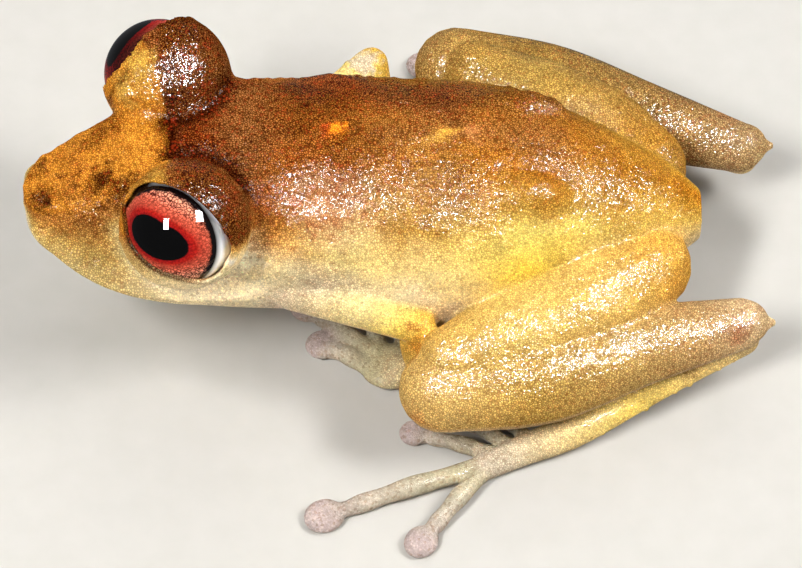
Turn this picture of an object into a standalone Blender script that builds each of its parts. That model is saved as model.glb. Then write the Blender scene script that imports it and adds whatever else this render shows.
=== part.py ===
"""Life-size museum model of a small leaf-litter frog, crouched with folded hind legs.

The frog faces -X, its left side is -Y, and it sits on the floor at Z = 0.
Lengths are metres. Places along the body are measured from the tip of the snout.
"""
import math

import bmesh
import bpy
import numpy as np
from mathutils import Matrix, Vector

MM = 0.001
GAP = 0.3 * MM                      # space kept between neighbouring solids
SKIN_VOXEL = 0.24 * MM              # grain of the fused forms before they are thinned out
DIGIT_VOXEL = 0.13 * MM
SLIVER = 0.0005 * MM                # edges shorter than this are closed up after a cut
RING_SIDES = 28
LIMB_SIDES = 16
DIGIT_SIDES = 10
CAP_ANGLES = (25, 50, 75)           # degrees of the rings that round off each end of a limb

# Head: one row per station, all in millimetres from the snout tip and the floor
# (x, crown height, canthus half-width, canthus height, lip half-width, lip height, chin height)
HEAD_STATIONS = (
    (0.10, 7.12, 0.45, 6.95, 0.50, 6.60, 6.40),
    (0.45, 7.35, 1.05, 7.12, 1.15, 6.18, 5.80),
    (1.15, 7.66, 1.38, 7.42, 1.95, 5.78, 5.16),
    (2.10, 8.08, 1.66, 7.85, 2.80, 5.44, 4.62),
    (3.30, 8.62, 1.92, 8.40, 3.46, 5.18, 4.14),
    (4.60, 9.08, 2.15, 8.80, 3.86, 5.06, 3.72),
    (6.00, 9.34, 2.45, 8.90, 4.12, 5.03, 3.30),
    (7.60, 9.36, 2.95, 8.45, 4.30, 5.05, 2.70),
    (9.20, 9.28, 3.25, 8.20, 4.35, 5.05, 2.10),
)
# Torso: x, height of the centre line, half-width, half-depth
TORSO_STATIONS = (
    (5.0, 6.40, 3.10, 2.50),
    (7.5, 6.10, 4.00, 3.15),
    (10.1, 5.65, 4.35, 3.60),
    (12.0, 5.15, 4.70, 4.05),
    (13.8, 4.72, 4.85, 4.30),
    (16.7, 4.72, 4.70, 4.20),
    (18.6, 4.80, 4.15, 3.80),
    (20.4, 4.80, 3.30, 3.15),
    (22.4, 4.55, 2.45, 2.30),
    (23.9, 4.30, 1.65, 1.60),
    (24.85, 4.15, 0.85, 0.95),
)
NECK_X = 8.9 * MM                   # where the head is parted from the torso
NECK_LEAN = math.radians(8)
HEAD_YAW = math.radians(7.5)        # the head looks a little to the frog's left

EYE_CENTRE = Vector((5.50, 3.49, 8.54)) * MM
EYE_AXIS = Vector((-0.36, 0.86, 0.36)).normalized()
EYE_RADIUS = 2.05 * MM
EYE_BACK = -0.25 * MM               # where the back of the eye solid is, along its axis
EYE_OPENING = 0.52 * MM             # where the rim of the lids is, along the same axis
LID_RADIUS = 2.48 * MM
LID_DEPTH = 0.26 * MM               # how far the middle of the lids lies behind the eye's
SOCKET_GAP = 0.22 * MM
NOSTRIL = Vector((0.52, 0.84, 7.22)) * MM
NOSTRIL_AXIS = Vector((0.45, -0.35, -0.80))
NOSTRIL_RADIUS = 0.17 * MM
LIP_RADIUS = 0.30 * MM
LIP_LIFT = 0.18                     # millimetres that the upper lip's edge lies above the mouth
MOUTH_GROOVE = 0.15 * MM
# Fold from the eye down behind the eardrum: three places from the middle of the eye
EAR_FOLD = ((1.9, 0.3, -0.5), (2.7, 0.75, -1.3), (3.2, 0.9, -2.7))
EAR_FOLD_RADII = (0.30 * MM, 0.34 * MM, 0.26 * MM)
TYMPANUM = Vector((8.05, 4.25, 6.45)) * MM
TYMPANUM_AXIS = Vector((0.12, 0.97, 0.22))
TYMPANUM_RADIUS = 0.62 * MM
TYMPANUM_DEPTH = 0.12 * MM
PAPILLA = Vector((0.45, 0.0, 6.88)) * MM            # small point at the tip of the snout
PAPILLA_REACH = Vector((-0.40, 0.0, -0.02)) * MM
PAPILLA_RADII = (0.34 * MM, 0.14 * MM)
# Humps of the back: middle of each and its half-sizes
SCAPULA = (Vector((11.3, 2.3, 7.6)) * MM, (2.0 * MM, 1.3 * MM, 1.1 * MM))
ILIUM = (Vector((17.8, 1.9, 7.55)) * MM, (2.2 * MM, 0.9 * MM, 1.1 * MM))

# Joints of the limbs: x, distance from the midline, height
JOINTS = {
    "left": {
        "shoulder": Vector((9.9, 3.8, 4.7)) * MM,
        "arm_bend": Vector((12.3, 4.9, 5.0)) * MM,
        "elbow": Vector((14.45, 5.25, 4.4)) * MM,
        "wrist": Vector((14.6, 4.95, 0.90)) * MM,
        "palm": Vector((13.45, 4.25, 0.42)) * MM,
        "hip": Vector((22.8, 2.3, 4.0)) * MM,
        "thigh_back": Vector((21.1, 3.6, 3.95)) * MM,
        "thigh_front": Vector((18.2, 5.2, 3.85)) * MM,
        "thigh_knee": Vector((15.7, 6.5, 4.2)) * MM,
        "knee": Vector((15.35, 7.25, 3.3)) * MM,
        "heel": Vector((26.15, 4.15, 3.0)) * MM,
    },
    "right": {
        "shoulder": Vector((9.7, 3.3, 4.5)) * MM,
        "arm_bend": Vector((11.3, 5.3, 4.4)) * MM,
        "elbow": Vector((12.7, 7.15, 4.1)) * MM,
        "wrist": Vector((12.9, 5.0, 0.95)) * MM,
        "palm": Vector((12.2, 4.4, 0.42)) * MM,
        "hip": Vector((22.8, 2.3, 4.0)) * MM,
        "thigh_back": Vector((21.1, 3.7, 3.95)) * MM,
        "thigh_front": Vector((18.8, 5.3, 3.85)) * MM,
        "thigh_knee": Vector((16.7, 6.7, 4.1)) * MM,
        "knee": Vector((15.95, 7.55, 3.3)) * MM,
        "heel": Vector((26.5, 4.1, 2.9)) * MM,
    },
}
ANKLE = Vector((20.2, 7.25, 0.75)) * MM
SOLE = Vector((16.9, 8.65, 0.42)) * MM
HEEL_TUBERCLE = 1.35 * MM           # how far the pointed tubercle stands out of the heel
HEEL_TUBERCLE_RADII = (0.62 * MM, 0.12 * MM)
SHANK_BOW = Vector((0.0, 0.15, -0.12)) * MM         # the calf bows out a little behind the knee
TARSUS_START = Vector((0.15, 0.1, -0.75)) * MM      # from the heel
TARSAL_TUBERCLES = 6
TARSAL_TUBERCLE_RADIUS = 0.17 * MM

# Radii along each limb, in millimetres, from the body outwards
UPPER_ARM_RADII = (0.80, 0.70, 0.66)
FOREARM_RADII = (0.64, 0.74, 0.60, 0.52, 0.50)
THIGH_RADII = (1.65, 2.00, 1.90, 1.25)
SHANK_RADII = (1.62, 1.90, 1.50, 0.98)
TARSUS_RADII = (0.66, 0.60, 0.66, 0.56, 0.52)
SHANK_FLATNESS = 0.95
PALM_RADII = (1.15 * MM, 1.0 * MM, 0.42 * MM)
DISC_HALF_HEIGHT = 0.34 * MM

# Where each finger leaves the palm, from the palm's middle, in millimetres
FINGER_ROOTS = ((0.25, -0.55, 0.0), (-0.3, -0.6, 0.0), (-0.55, -0.45, 0.0), (-0.6, 0.2, 0.0))
# Where each toe leaves the foot, as a share of the way from the ankle to the sole
TOE_ROOTS = (0.45, 0.62, 0.8, 1.0, 0.95)

# Fingers: x and distance from the midline of each tip from the palm, disc and digit radius
FINGERS = (
    (0.65, -1.75, 0.40, 0.26),
    (-0.95, -2.55, 0.48, 0.28),
    (-3.15, -2.80, 0.62, 0.34),
    (-2.55, -1.10, 0.62, 0.33),
)
# Toes: x and distance from the midline of each tip, disc and digit radius
TOES = (
    (17.60, 6.60, 0.38, 0.24),
    (15.90, 6.45, 0.46, 0.26),
    (14.30, 7.10, 0.52, 0.29),
    (11.05, 10.70, 0.70, 0.34),
    (14.55, 11.80, 0.62, 0.32),
)
TIP_HEIGHT = 0.24                   # millimetres from the floor to the middle of a disc
DIGIT_ARCH = 0.16 * MM              # how far the middle of a digit stands above a straight line
FAR_FOOT_TURN = math.radians(15)    # the right foot is tucked further in than the left
FAR_FOOT_SHIFT = Vector((1.1, 0.0, 0.0)) * MM
FLOOR_BLOCK = (0.08, 0.08, 0.01)    # size of the block that flattens hands and feet underneath

# Triangles that each fused form is thinned to
TRIANGLES = {"trunk": 9000, "head": 1900, "torso": 1300, "arm": 1250, "leg": 1700}

SKIN_TOP = (0.42, 0.22, 0.07, 1.0)
SKIN_LEG = (0.72, 0.45, 0.12, 1.0)
SKIN_PALE = (0.62, 0.47, 0.33, 1.0)
EYE_RED = (0.45, 0.06, 0.04, 1.0)


def clear_scene():
    for item in list(bpy.data.objects):
        bpy.data.objects.remove(item, do_unlink=True)


def object_from(name, bm):
    bmesh.ops.recalc_face_normals(bm, faces=bm.faces[:])
    mesh = bpy.data.meshes.new(name)
    bm.to_mesh(mesh)
    bm.free()
    item = bpy.data.objects.new(name, mesh)
    bpy.context.collection.objects.link(item)
    return item


def apply_modifiers(item):
    bpy.context.view_layer.update()
    graph = bpy.context.evaluated_depsgraph_get()
    mesh = bpy.data.meshes.new_from_object(item.evaluated_get(graph))
    item.modifiers.clear()
    item.data = mesh
    return item


def smooth_path(rows, count):
    """Rows of numbers read along a Catmull-Rom curve at even steps of its parameter."""
    rows = np.array(rows, dtype=float)
    padded = np.vstack([2 * rows[0] - rows[1], rows, 2 * rows[-1] - rows[-2]])
    result = []
    for step in np.linspace(0, len(rows) - 1, count):
        index = min(int(step), len(rows) - 2)
        t = step - index
        a, b, c, d = padded[index:index + 4]
        point = 0.5 * (2 * b + (c - a) * t + (2 * a - 5 * b + 4 * c - d) * t ** 2
                       + (3 * b - a - 3 * c + d) * t ** 3)
        result.append(point)
    return result


def bridged(name, rings):
    """Closed solid through a row of rings, each a list of points in the same order."""
    bm = bmesh.new()
    loops = []
    for ring in rings:
        verts = bmesh.ops.create_circle(bm, segments=len(ring), radius=MM)["verts"]
        for vert, place in zip(verts, ring):
            vert.co = place
        loops.append(list({edge for vert in verts for edge in vert.link_edges}))
    for first, second in zip(loops, loops[1:]):
        bmesh.ops.bridge_loops(bm, edges=first + second)
    bmesh.ops.contextual_create(bm, geom=loops[0])
    bmesh.ops.contextual_create(bm, geom=loops[-1])
    return object_from(name, bm)


def tube(name, points, radii, sides=LIMB_SIDES, count=10, flatness=1.0):
    """Round-ended limb along a smooth path; flatness scales its radius towards world Z."""
    rows = [(*point, radius) for point, radius in zip(points, radii)]
    path = smooth_path(rows, count)
    start, end = path[0], path[-1]
    stations = [(Vector(start[:3]), start[3], angle) for angle in reversed(CAP_ANGLES)]
    stations += [(Vector(row[:3]), row[3], 0) for row in path]
    stations += [(Vector(end[:3]), end[3], -angle) for angle in CAP_ANGLES]
    centres = [Vector(row[:3]) for row in path]
    rings = []
    for index, (centre, radius, angle) in enumerate(stations):
        place = min(max(index - len(CAP_ANGLES), 0), len(centres) - 1)
        ahead = centres[min(place + 1, len(centres) - 1)]
        behind = centres[max(place - 1, 0)]
        along = (ahead - behind).normalized()
        side = along.cross(Vector((0, 0, 1)))
        side = side.normalized() if side.length > 0.05 else Vector((0, 1, 0))
        up = side.cross(along).normalized()
        size = radius * math.cos(math.radians(angle))
        middle = centre - along * radius * math.sin(math.radians(angle))
        ring = []
        for k in range(sides):
            turn = 2 * math.pi * k / sides
            ring.append(middle + side * size * math.cos(turn)
                        + up * size * flatness * math.sin(turn))
        rings.append(ring)
    return bridged(name, rings)


def ball(name, centre, radii, segments=24):
    bm = bmesh.new()
    bmesh.ops.create_uvsphere(bm, u_segments=segments, v_segments=segments // 2, radius=1)
    bmesh.ops.scale(bm, vec=radii, verts=bm.verts[:])
    bmesh.ops.translate(bm, vec=centre, verts=bm.verts[:])
    return object_from(name, bm)


def cone(name, base, tip, base_radius, tip_radius, segments=12):
    bm = bmesh.new()
    along = tip - base
    turn = along.to_track_quat("Z", "Y").to_matrix().to_4x4()
    bmesh.ops.create_cone(bm, cap_ends=True, segments=segments, radius1=base_radius,
                          radius2=tip_radius, depth=along.length,
                          matrix=Matrix.Translation((base + tip) / 2) @ turn)
    return object_from(name, bm)


def remove(items):
    for item in items:
        bpy.data.objects.remove(item, do_unlink=True)


def keep_largest(item):
    """Only the closed surface with the most faces stays."""
    bm = bmesh.new()
    bm.from_mesh(item.data)
    left = set(bm.faces)
    shells = []
    while left:
        stack = [left.pop()]
        shell = set(stack)
        while stack:
            face = stack.pop()
            near = {other for edge in face.edges for other in edge.link_faces} & left
            left -= near
            shell |= near
            stack.extend(near)
        shells.append(shell)
    shells.sort(key=len, reverse=True)
    scraps = [face for shell in shells[1:] for face in shell]
    bmesh.ops.delete(bm, geom=scraps, context="FACES")
    bmesh.ops.dissolve_degenerate(bm, dist=SLIVER, edges=bm.edges[:])
    for method in ("BEAUTY", "EAR_CLIP"):
        split = bm.copy()
        bmesh.ops.triangulate(split, faces=split.faces[:], ngon_method=method)
        whole = all(len(edge.link_faces) == 2 for edge in split.edges)
        split.to_mesh(item.data)
        split.free()
        if whole:
            break
    bm.free()
    return item


def thinned(item, triangles):
    thin = item.modifiers.new("thin", "DECIMATE")
    thin.ratio = min(1.0, triangles / len(item.data.polygons))
    return apply_modifiers(item)


def fused(name, pieces, voxel, passes, triangles):
    """One flowing surface over overlapping pieces, thinned to a number of triangles."""
    bm = bmesh.new()
    for piece in pieces:
        bm.from_mesh(piece.data)
    item = object_from(name, bm)
    remove(pieces)
    remesh = item.modifiers.new("fuse", "REMESH")
    remesh.mode = "VOXEL"
    remesh.voxel_size = voxel
    relax = item.modifiers.new("relax", "SMOOTH")
    relax.factor = 0.5
    relax.iterations = passes
    apply_modifiers(item)
    return thinned(keep_largest(item), triangles)


def grown(item, amount):
    """Copy of an object with every point moved out along its normal."""
    bm = bmesh.new()
    bm.from_mesh(item.data)
    bm.normal_update()
    places = [vert.co + vert.normal * amount for vert in bm.verts]
    for vert, place in zip(bm.verts, places):
        vert.co = place
    return object_from(item.name + "_clear", bm)


def combined(item, others, operation):
    """Boolean with a collection of closed objects, which are removed afterwards."""
    group = bpy.data.collections.new("cutters")
    bpy.context.scene.collection.children.link(group)
    for other in others:
        other.hide_render = True
        other.display_type = "WIRE"
        group.objects.link(other)
    change = item.modifiers.new("change", "BOOLEAN")
    change.operation = operation
    change.operand_type = "COLLECTION"
    change.collection = group
    change.solver = "EXACT"
    apply_modifiers(item)
    remove(others)
    bpy.data.collections.remove(group)
    return keep_largest(item)


def cut(item, cutters):
    return combined(item, cutters, "DIFFERENCE")


def halved(item, point, normal, name=None):
    """The half of an object behind a plane, closed with a flat face."""
    bm = bmesh.new()
    bm.from_mesh(item.data)
    sides = bmesh.ops.bisect_plane(bm, geom=bm.verts[:] + bm.edges[:] + bm.faces[:],
                                   plane_co=point, plane_no=normal, clear_outer=True)
    rim = [part for part in sides["geom_cut"] if isinstance(part, bmesh.types.BMEdge)]
    bmesh.ops.holes_fill(bm, edges=rim)
    return keep_largest(object_from(name or item.name, bm))


def mirrored(place, side):
    return Vector((place.x, place.y * side, place.z))


def turned_head(piece):
    """Turns a piece of the head about the neck."""
    pivot = Matrix.Translation((NECK_X, 0, 0))
    piece.data.transform(pivot @ Matrix.Rotation(HEAD_YAW, 4, "Z") @ pivot.inverted())
    return piece


def head_ring(row, sides=RING_SIDES):
    """Section of the head at one station: crown, canthus, cheek, lip, jaw and chin."""
    x, crown, canthus_y, canthus_z, lip_y, lip_z, chin = row
    jaw = lip_z - 0.45 * (lip_z - chin)
    half = [
        (0.0, crown),
        (canthus_y * 0.62, crown - 0.25 * (crown - canthus_z)),
        (canthus_y, canthus_z),
        (canthus_y + 0.42 * (lip_y - canthus_y), canthus_z - 0.52 * (canthus_z - lip_z)),
        (lip_y, lip_z + 0.10),
        (lip_y * 0.93, jaw),
        (lip_y * 0.62, chin + 0.22 * (jaw - chin)),
        (0.0, chin),
    ]
    whole = half + [(-y, z) for y, z in half[-2:0:-1]] + [half[0]]
    ring = [Vector((x, y, z)) * MM for y, z in smooth_path(whole, sides + 1)]
    return ring[:-1]


def torso_ring(row, sides=RING_SIDES):
    x, centre, half_width, half_depth = row
    ring = []
    for k in range(sides):
        turn = 2 * math.pi * k / sides
        y = half_width * math.sin(turn)
        z = centre + half_depth * math.cos(turn)
        ring.append(Vector((x, y, z)) * MM)
    return ring


def lip_line(side, lift=0.0, out=0.0):
    """Points along the edge of the upper lip from the snout to the corner of the mouth."""
    points = []
    for x, _, _, _, lip_y, lip_z, _ in HEAD_STATIONS[1:-1]:
        points.append(Vector((x - out, side * (lip_y + out), lip_z + lift)) * MM)
    return points


def build_trunk():
    """Head and torso as one flowing form, before they are parted at the neck."""
    pieces = [bridged("head_form", [head_ring(row) for row in smooth_path(HEAD_STATIONS, 19)])]
    for side in (-1, 1):
        eye = mirrored(EYE_CENTRE, side)
        axis = mirrored(EYE_AXIS, side)
        pieces.append(ball("orbit", eye - axis * LID_DEPTH, [LID_RADIUS] * 3, 28))
        fold = [mirrored(EYE_CENTRE + Vector(place) * MM, side) for place in EAR_FOLD]
        pieces.append(tube("ear_fold", fold, EAR_FOLD_RADII, DIGIT_SIDES))
    lip = lip_line(-1, LIP_LIFT)[::-1] + lip_line(1, LIP_LIFT)
    pieces.append(tube("lip", lip, [LIP_RADIUS] * len(lip), DIGIT_SIDES, 30))
    pieces.append(cone("papilla", PAPILLA, PAPILLA + PAPILLA_REACH, *PAPILLA_RADII))
    for piece in pieces:
        turned_head(piece)
    pieces.append(bridged("torso_form",
                          [torso_ring(row) for row in smooth_path(TORSO_STATIONS, 24)]))
    for side in (-1, 1):
        for centre, radii in (SCAPULA, ILIUM):
            pieces.append(ball("hump", mirrored(centre, side), radii, 16))
    return fused("trunk", pieces, SKIN_VOXEL, 3, TRIANGLES["trunk"])


def build_head(trunk):
    lean = Vector((math.cos(NECK_LEAN), 0, math.sin(NECK_LEAN)))
    neck = Vector((NECK_X, 0, 6.0 * MM)) - lean * GAP / 2
    head = thinned(halved(trunk, neck, lean, "head"), TRIANGLES["head"])
    cutters = []
    for side in (-1, 1):
        eye = mirrored(EYE_CENTRE, side)
        axis = mirrored(EYE_AXIS, side)
        socket = ball("socket", eye, [EYE_RADIUS + SOCKET_GAP] * 3, 20)
        cutters.append(halved(socket, eye + axis * (EYE_BACK - SOCKET_GAP), -axis, "socket_cup"))
        remove([socket])
        rim = math.sqrt((EYE_RADIUS + SOCKET_GAP) ** 2 - EYE_OPENING ** 2)
        cutters.append(cone("lid_opening", eye + axis * EYE_OPENING, eye + axis * 2 * EYE_RADIUS,
                            rim, rim * 2.2, 20))
        nostril = mirrored(NOSTRIL, side)
        inward = mirrored(NOSTRIL_AXIS, side).normalized()
        cutters.append(cone("nostril", nostril - inward * 0.35 * MM,
                            nostril + inward * 0.45 * MM, NOSTRIL_RADIUS * 1.5,
                            NOSTRIL_RADIUS * 0.6))
        ear = mirrored(TYMPANUM, side)
        outward = mirrored(TYMPANUM_AXIS, side).normalized()
        cutters.append(cone("ear_disc", ear - outward * TYMPANUM_DEPTH,
                            ear + outward * 1.5 * TYMPANUM_RADIUS,
                            TYMPANUM_RADIUS, TYMPANUM_RADIUS * 1.15, 20))
    lips = lip_line(-1, 0.0, 0.10)[::-1] + lip_line(1, 0.0, 0.10)
    cutters.append(tube("mouth", lips, [MOUTH_GROOVE] * len(lips), 5, 26))
    return cut(head, [turned_head(cutter) for cutter in cutters])


def build_torso(trunk, thighs):
    lean = Vector((math.cos(NECK_LEAN), 0, math.sin(NECK_LEAN)))
    neck = Vector((NECK_X, 0, 6.0 * MM)) + lean * GAP / 2
    torso = thinned(halved(trunk, neck, -lean, "torso"), TRIANGLES["torso"])
    return cut(torso, [grown(thigh, GAP) for thigh in thighs])


def build_eye(name, side):
    eye = mirrored(EYE_CENTRE, side)
    axis = mirrored(EYE_AXIS, side)
    globe = ball("globe", eye, [EYE_RADIUS] * 3, 22)
    cap = halved(globe, eye + axis * EYE_BACK, -axis, name)
    remove([globe])
    return turned_head(cap)


def digit(points, radius, disc_radius, name):
    """One finger or toe with swollen joints and a flattened disc at its tip."""
    tip = points[-1]
    radii = [radius * swell for swell in (1.25, 1.15, 1.05, 0.95)]
    along = (points[-1] - points[-2]).normalized()
    pieces = [tube(name, points, radii, DIGIT_SIDES, 9)]
    turn = along.to_track_quat("X", "Z").to_matrix().to_4x4()
    bm = bmesh.new()
    bmesh.ops.create_uvsphere(bm, u_segments=16, v_segments=8, radius=1)
    bmesh.ops.scale(bm, vec=(disc_radius * 1.12, disc_radius, DISC_HALF_HEIGHT),
                    verts=bm.verts[:])
    bmesh.ops.transform(bm, matrix=Matrix.Translation(tip) @ turn, verts=bm.verts[:])
    pieces.append(object_from(name + "_disc", bm))
    return pieces


def digits(rows, root, place, name):
    """All fingers or toes of one hand or foot, each arching a little between root and tip."""
    pieces = []
    for index, (x, y, disc, radius) in enumerate(rows):
        tip = place(Vector((x, y, TIP_HEIGHT)) * MM)
        start = root(index)
        middle = start.lerp(tip, 0.5) + Vector((0, 0, DIGIT_ARCH))
        near_tip = start.lerp(tip, 0.86) + Vector((0, 0, DIGIT_ARCH / 8))
        pieces += digit([start, middle, near_tip, tip], radius * MM, disc * MM,
                        "%s_%d" % (name, index + 1))
    return pieces


def floor_block():
    bm = bmesh.new()
    bmesh.ops.create_cube(bm, size=1)
    bmesh.ops.scale(bm, vec=FLOOR_BLOCK, verts=bm.verts[:])
    bmesh.ops.translate(bm, vec=(SOLE.x, 0, -FLOOR_BLOCK[2] / 2), verts=bm.verts[:])
    return object_from("floor_cutter", bm)


def build_arm(side, label, trunk, leg):
    def at(place):
        return mirrored(place, side)

    names = ("shoulder", "arm_bend", "elbow", "wrist", "palm")
    shoulder, bend, elbow, wrist, palm = (at(JOINTS[label][name]) for name in names)
    lower = tube("lower", [elbow, elbow.lerp(wrist, 0.35), elbow.lerp(wrist, 0.75), wrist,
                           wrist.lerp(palm, 0.7)],
                 [radius * MM for radius in FOREARM_RADII], 14, 12)
    pad = ball("pad", palm, PALM_RADII, 18)
    root = [palm + at(Vector(place)) * MM for place in FINGER_ROOTS]

    def from_palm(place):
        return Vector((palm.x, palm.y, 0.0)) + at(place)

    pieces = [lower, pad] + digits(FINGERS, lambda index: root[index], from_palm, "finger")
    whole = cut(fused("forearm_and_hand", pieces, DIGIT_VOXEL, 2, TRIANGLES["arm"]),
                [floor_block()])
    along = (wrist - elbow).normalized()
    part_at = elbow.lerp(wrist, 0.85)
    forearm = halved(whole, part_at - along * GAP / 2, along, "forearm_" + label)
    hand = halved(whole, part_at + along * GAP / 2, -along, "hand_" + label)
    remove([whole])
    upper = tube("upper_arm_" + label, [shoulder, bend, bend.lerp(elbow, 0.85)],
                 [radius * MM for radius in UPPER_ARM_RADII], LIMB_SIDES, 9)
    cut(forearm, [grown(trunk, GAP)] + [grown(piece, GAP) for piece in leg])
    cut(upper, [grown(trunk, GAP), grown(forearm, GAP)] + [grown(piece, GAP) for piece in leg])
    return [upper, forearm, hand]


def foot_place(side):
    """Places a point of the left foot, or of the right foot with its own turn and shift."""
    def near(place):
        return mirrored(place, -1)

    def far(place):
        turn = Matrix.Rotation(FAR_FOOT_TURN, 4, "Z")
        ankle = mirrored(ANKLE, 1)
        return turn @ (mirrored(place, 1) - ankle) + ankle + FAR_FOOT_SHIFT

    return near if side < 0 else far


def build_leg(side, label):
    def at(place):
        return mirrored(place, side)

    knee, heel = at(JOINTS[label]["knee"]), at(JOINTS[label]["heel"])
    in_foot = foot_place(side)
    ankle, sole = in_foot(ANKLE), in_foot(SOLE)
    bend = knee.lerp(heel, 0.33) + at(SHANK_BOW)
    shank = tube("shank_" + label, [knee, bend, knee.lerp(heel, 0.66), heel],
                 [radius * MM for radius in SHANK_RADII], 18, 12, SHANK_FLATNESS)
    spike = heel + Vector((HEEL_TUBERCLE, 0, 0.1 * MM))
    base = heel + Vector((0.3 * MM, 0, 0))
    tubercle = cone("tubercle", base, spike, *HEEL_TUBERCLE_RADII, 10)
    combined(shank, [tubercle], "UNION")
    names = ("hip", "thigh_back", "thigh_front", "thigh_knee")
    thigh = tube("thigh_" + label, [at(JOINTS[label][name]) for name in names],
                 [radius * MM for radius in THIGH_RADII], 18, 12)
    cut(thigh, [grown(shank, GAP)])
    start = heel + at(TARSUS_START)
    tarsus_tube = tube("tarsus", [start, start.lerp(ankle, 0.5), ankle, ankle.lerp(sole, 0.6),
                                  sole],
                       [radius * MM for radius in TARSUS_RADII], 14, 14)
    root = [ankle.lerp(sole, share) for share in TOE_ROOTS]
    pieces = [tarsus_tube] + digits(TOES, lambda index: root[index], in_foot, "toe")
    outer = (ankle - start).cross(Vector((0, 0, 1))).normalized()
    if outer.y * side < 0:
        outer = -outer
    for index in range(TARSAL_TUBERCLES):
        place = start.lerp(ankle, 0.18 + 0.84 * index / TARSAL_TUBERCLES)
        pieces.append(ball("tubercle", place + outer * TARSUS_RADII[1] * MM,
                           [TARSAL_TUBERCLE_RADIUS] * 3, 8))
    whole = fused("tarsus_and_foot", pieces, DIGIT_VOXEL, 2, TRIANGLES["leg"])
    cut(whole, [floor_block(), grown(shank, GAP)])
    along = (ankle - start).normalized()
    part_at = start.lerp(ankle, 0.97)
    tarsus = halved(whole, part_at - along * GAP / 2, along, "tarsus_" + label)
    foot = halved(whole, part_at + along * GAP / 2, -along, "foot_" + label)
    remove([whole])
    return [thigh, shank, tarsus, foot]


def painted(item, name, colour, roughness):
    """Gives a node its own material and shades its round faces smooth."""
    material = bpy.data.materials.new(name)
    material.use_nodes = True
    shader = material.node_tree.nodes["Principled BSDF"]
    shader.inputs["Base Color"].default_value = colour
    shader.inputs["Roughness"].default_value = roughness
    shader.inputs["Metallic"].default_value = 0.0
    item.data.materials.clear()
    item.data.materials.append(material)
    item.data.shade_smooth()
    item.data.set_sharp_from_angle(angle=math.radians(40))
    return item


def centre_on_floor(items):
    """Moves the whole frog so that its box is centred on the origin and stands on the floor."""
    corners = [vert.co for item in items for vert in item.data.vertices]
    low = Vector([min(corner[axis] for corner in corners) for axis in range(3)])
    high = Vector([max(corner[axis] for corner in corners) for axis in range(3)])
    shift = Vector((-(low.x + high.x) / 2, -(low.y + high.y) / 2, -low.z))
    for item in items:
        item.data.transform(Matrix.Translation(shift))
    return shift


def main():
    clear_scene()
    trunk = build_trunk()
    items = []
    thighs = []
    for side, label in ((-1, "left"), (1, "right")):
        items.append(painted(build_eye("eye_" + label, side), "eye_" + label, EYE_RED, 0.08))
        leg = build_leg(side, label)
        thighs.append(leg[0])
        for item in leg + build_arm(side, label, trunk, leg[:2]):
            pale = item.name.startswith(("hand", "foot"))
            items.append(painted(item, item.name, SKIN_PALE if pale else SKIN_LEG, 0.45))
    items.append(painted(build_head(trunk), "head", SKIN_TOP, 0.45))
    items.append(painted(build_torso(trunk, thighs), "torso", SKIN_TOP, 0.45))
    remove([trunk])
    centre_on_floor(items)


main()
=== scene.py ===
import math

import bmesh
import bpy
import numpy as np
from mathutils import Matrix, Vector, kdtree, noise
from mathutils.bvhtree import BVHTree


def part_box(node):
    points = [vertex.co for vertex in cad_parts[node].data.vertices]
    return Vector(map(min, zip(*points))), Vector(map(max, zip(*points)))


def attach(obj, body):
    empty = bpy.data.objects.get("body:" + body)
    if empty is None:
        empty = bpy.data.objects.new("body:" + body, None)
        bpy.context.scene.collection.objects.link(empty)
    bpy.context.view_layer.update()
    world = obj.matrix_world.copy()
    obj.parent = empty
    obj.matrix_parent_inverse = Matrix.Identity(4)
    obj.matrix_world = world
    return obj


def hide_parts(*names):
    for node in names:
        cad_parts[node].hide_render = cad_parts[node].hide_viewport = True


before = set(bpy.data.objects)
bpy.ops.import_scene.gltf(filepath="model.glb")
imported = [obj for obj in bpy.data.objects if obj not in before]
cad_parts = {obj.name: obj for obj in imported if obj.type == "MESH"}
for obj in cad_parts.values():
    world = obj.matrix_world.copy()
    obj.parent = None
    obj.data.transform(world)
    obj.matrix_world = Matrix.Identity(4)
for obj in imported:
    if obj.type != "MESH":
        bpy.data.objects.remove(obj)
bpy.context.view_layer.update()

# Everything is modelled in millimetres: x from the tip of the snout rearwards, y from the midline (left is
# negative), z from the floor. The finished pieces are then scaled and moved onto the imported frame.
mm = 0.001

photo = {
    "width": 802,
    "height": 568,
    "pixelsPerMm": 27.2,
    "elevation": math.radians(54),
    "distance": 155.0,               # from the point that the camera looks at
    "target": Vector((13.82, -2.30, 2.93)),
}
photo["back"] = Vector((0, -math.cos(photo["elevation"]), math.sin(photo["elevation"])))
photo["up"] = Vector((0, math.sin(photo["elevation"]), math.cos(photo["elevation"])))
photo["eye"] = photo["target"] + photo["back"] * photo["distance"]


# Helpers for shapes

def onSide(place, side):
    return Vector((place[0], place[1] * side, place[2]))


def smoothRows(rows, count):
    # points on a smooth curve through the rows
    rows = np.array(rows, dtype=float)
    padded = np.vstack([2 * rows[0] - rows[1], rows, 2 * rows[-1] - rows[-2]])
    result = []
    for step in np.linspace(0, len(rows) - 1, count):
        index = min(int(step), len(rows) - 2)
        t = step - index
        a, b, c, d = padded[index:index + 4]
        result.append(0.5 * (2 * b + (c - a) * t + (2 * a - 5 * b + 4 * c - d) * t ** 2
                             + (3 * b - a - 3 * c + d) * t ** 3))
    return np.array(result)


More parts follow.
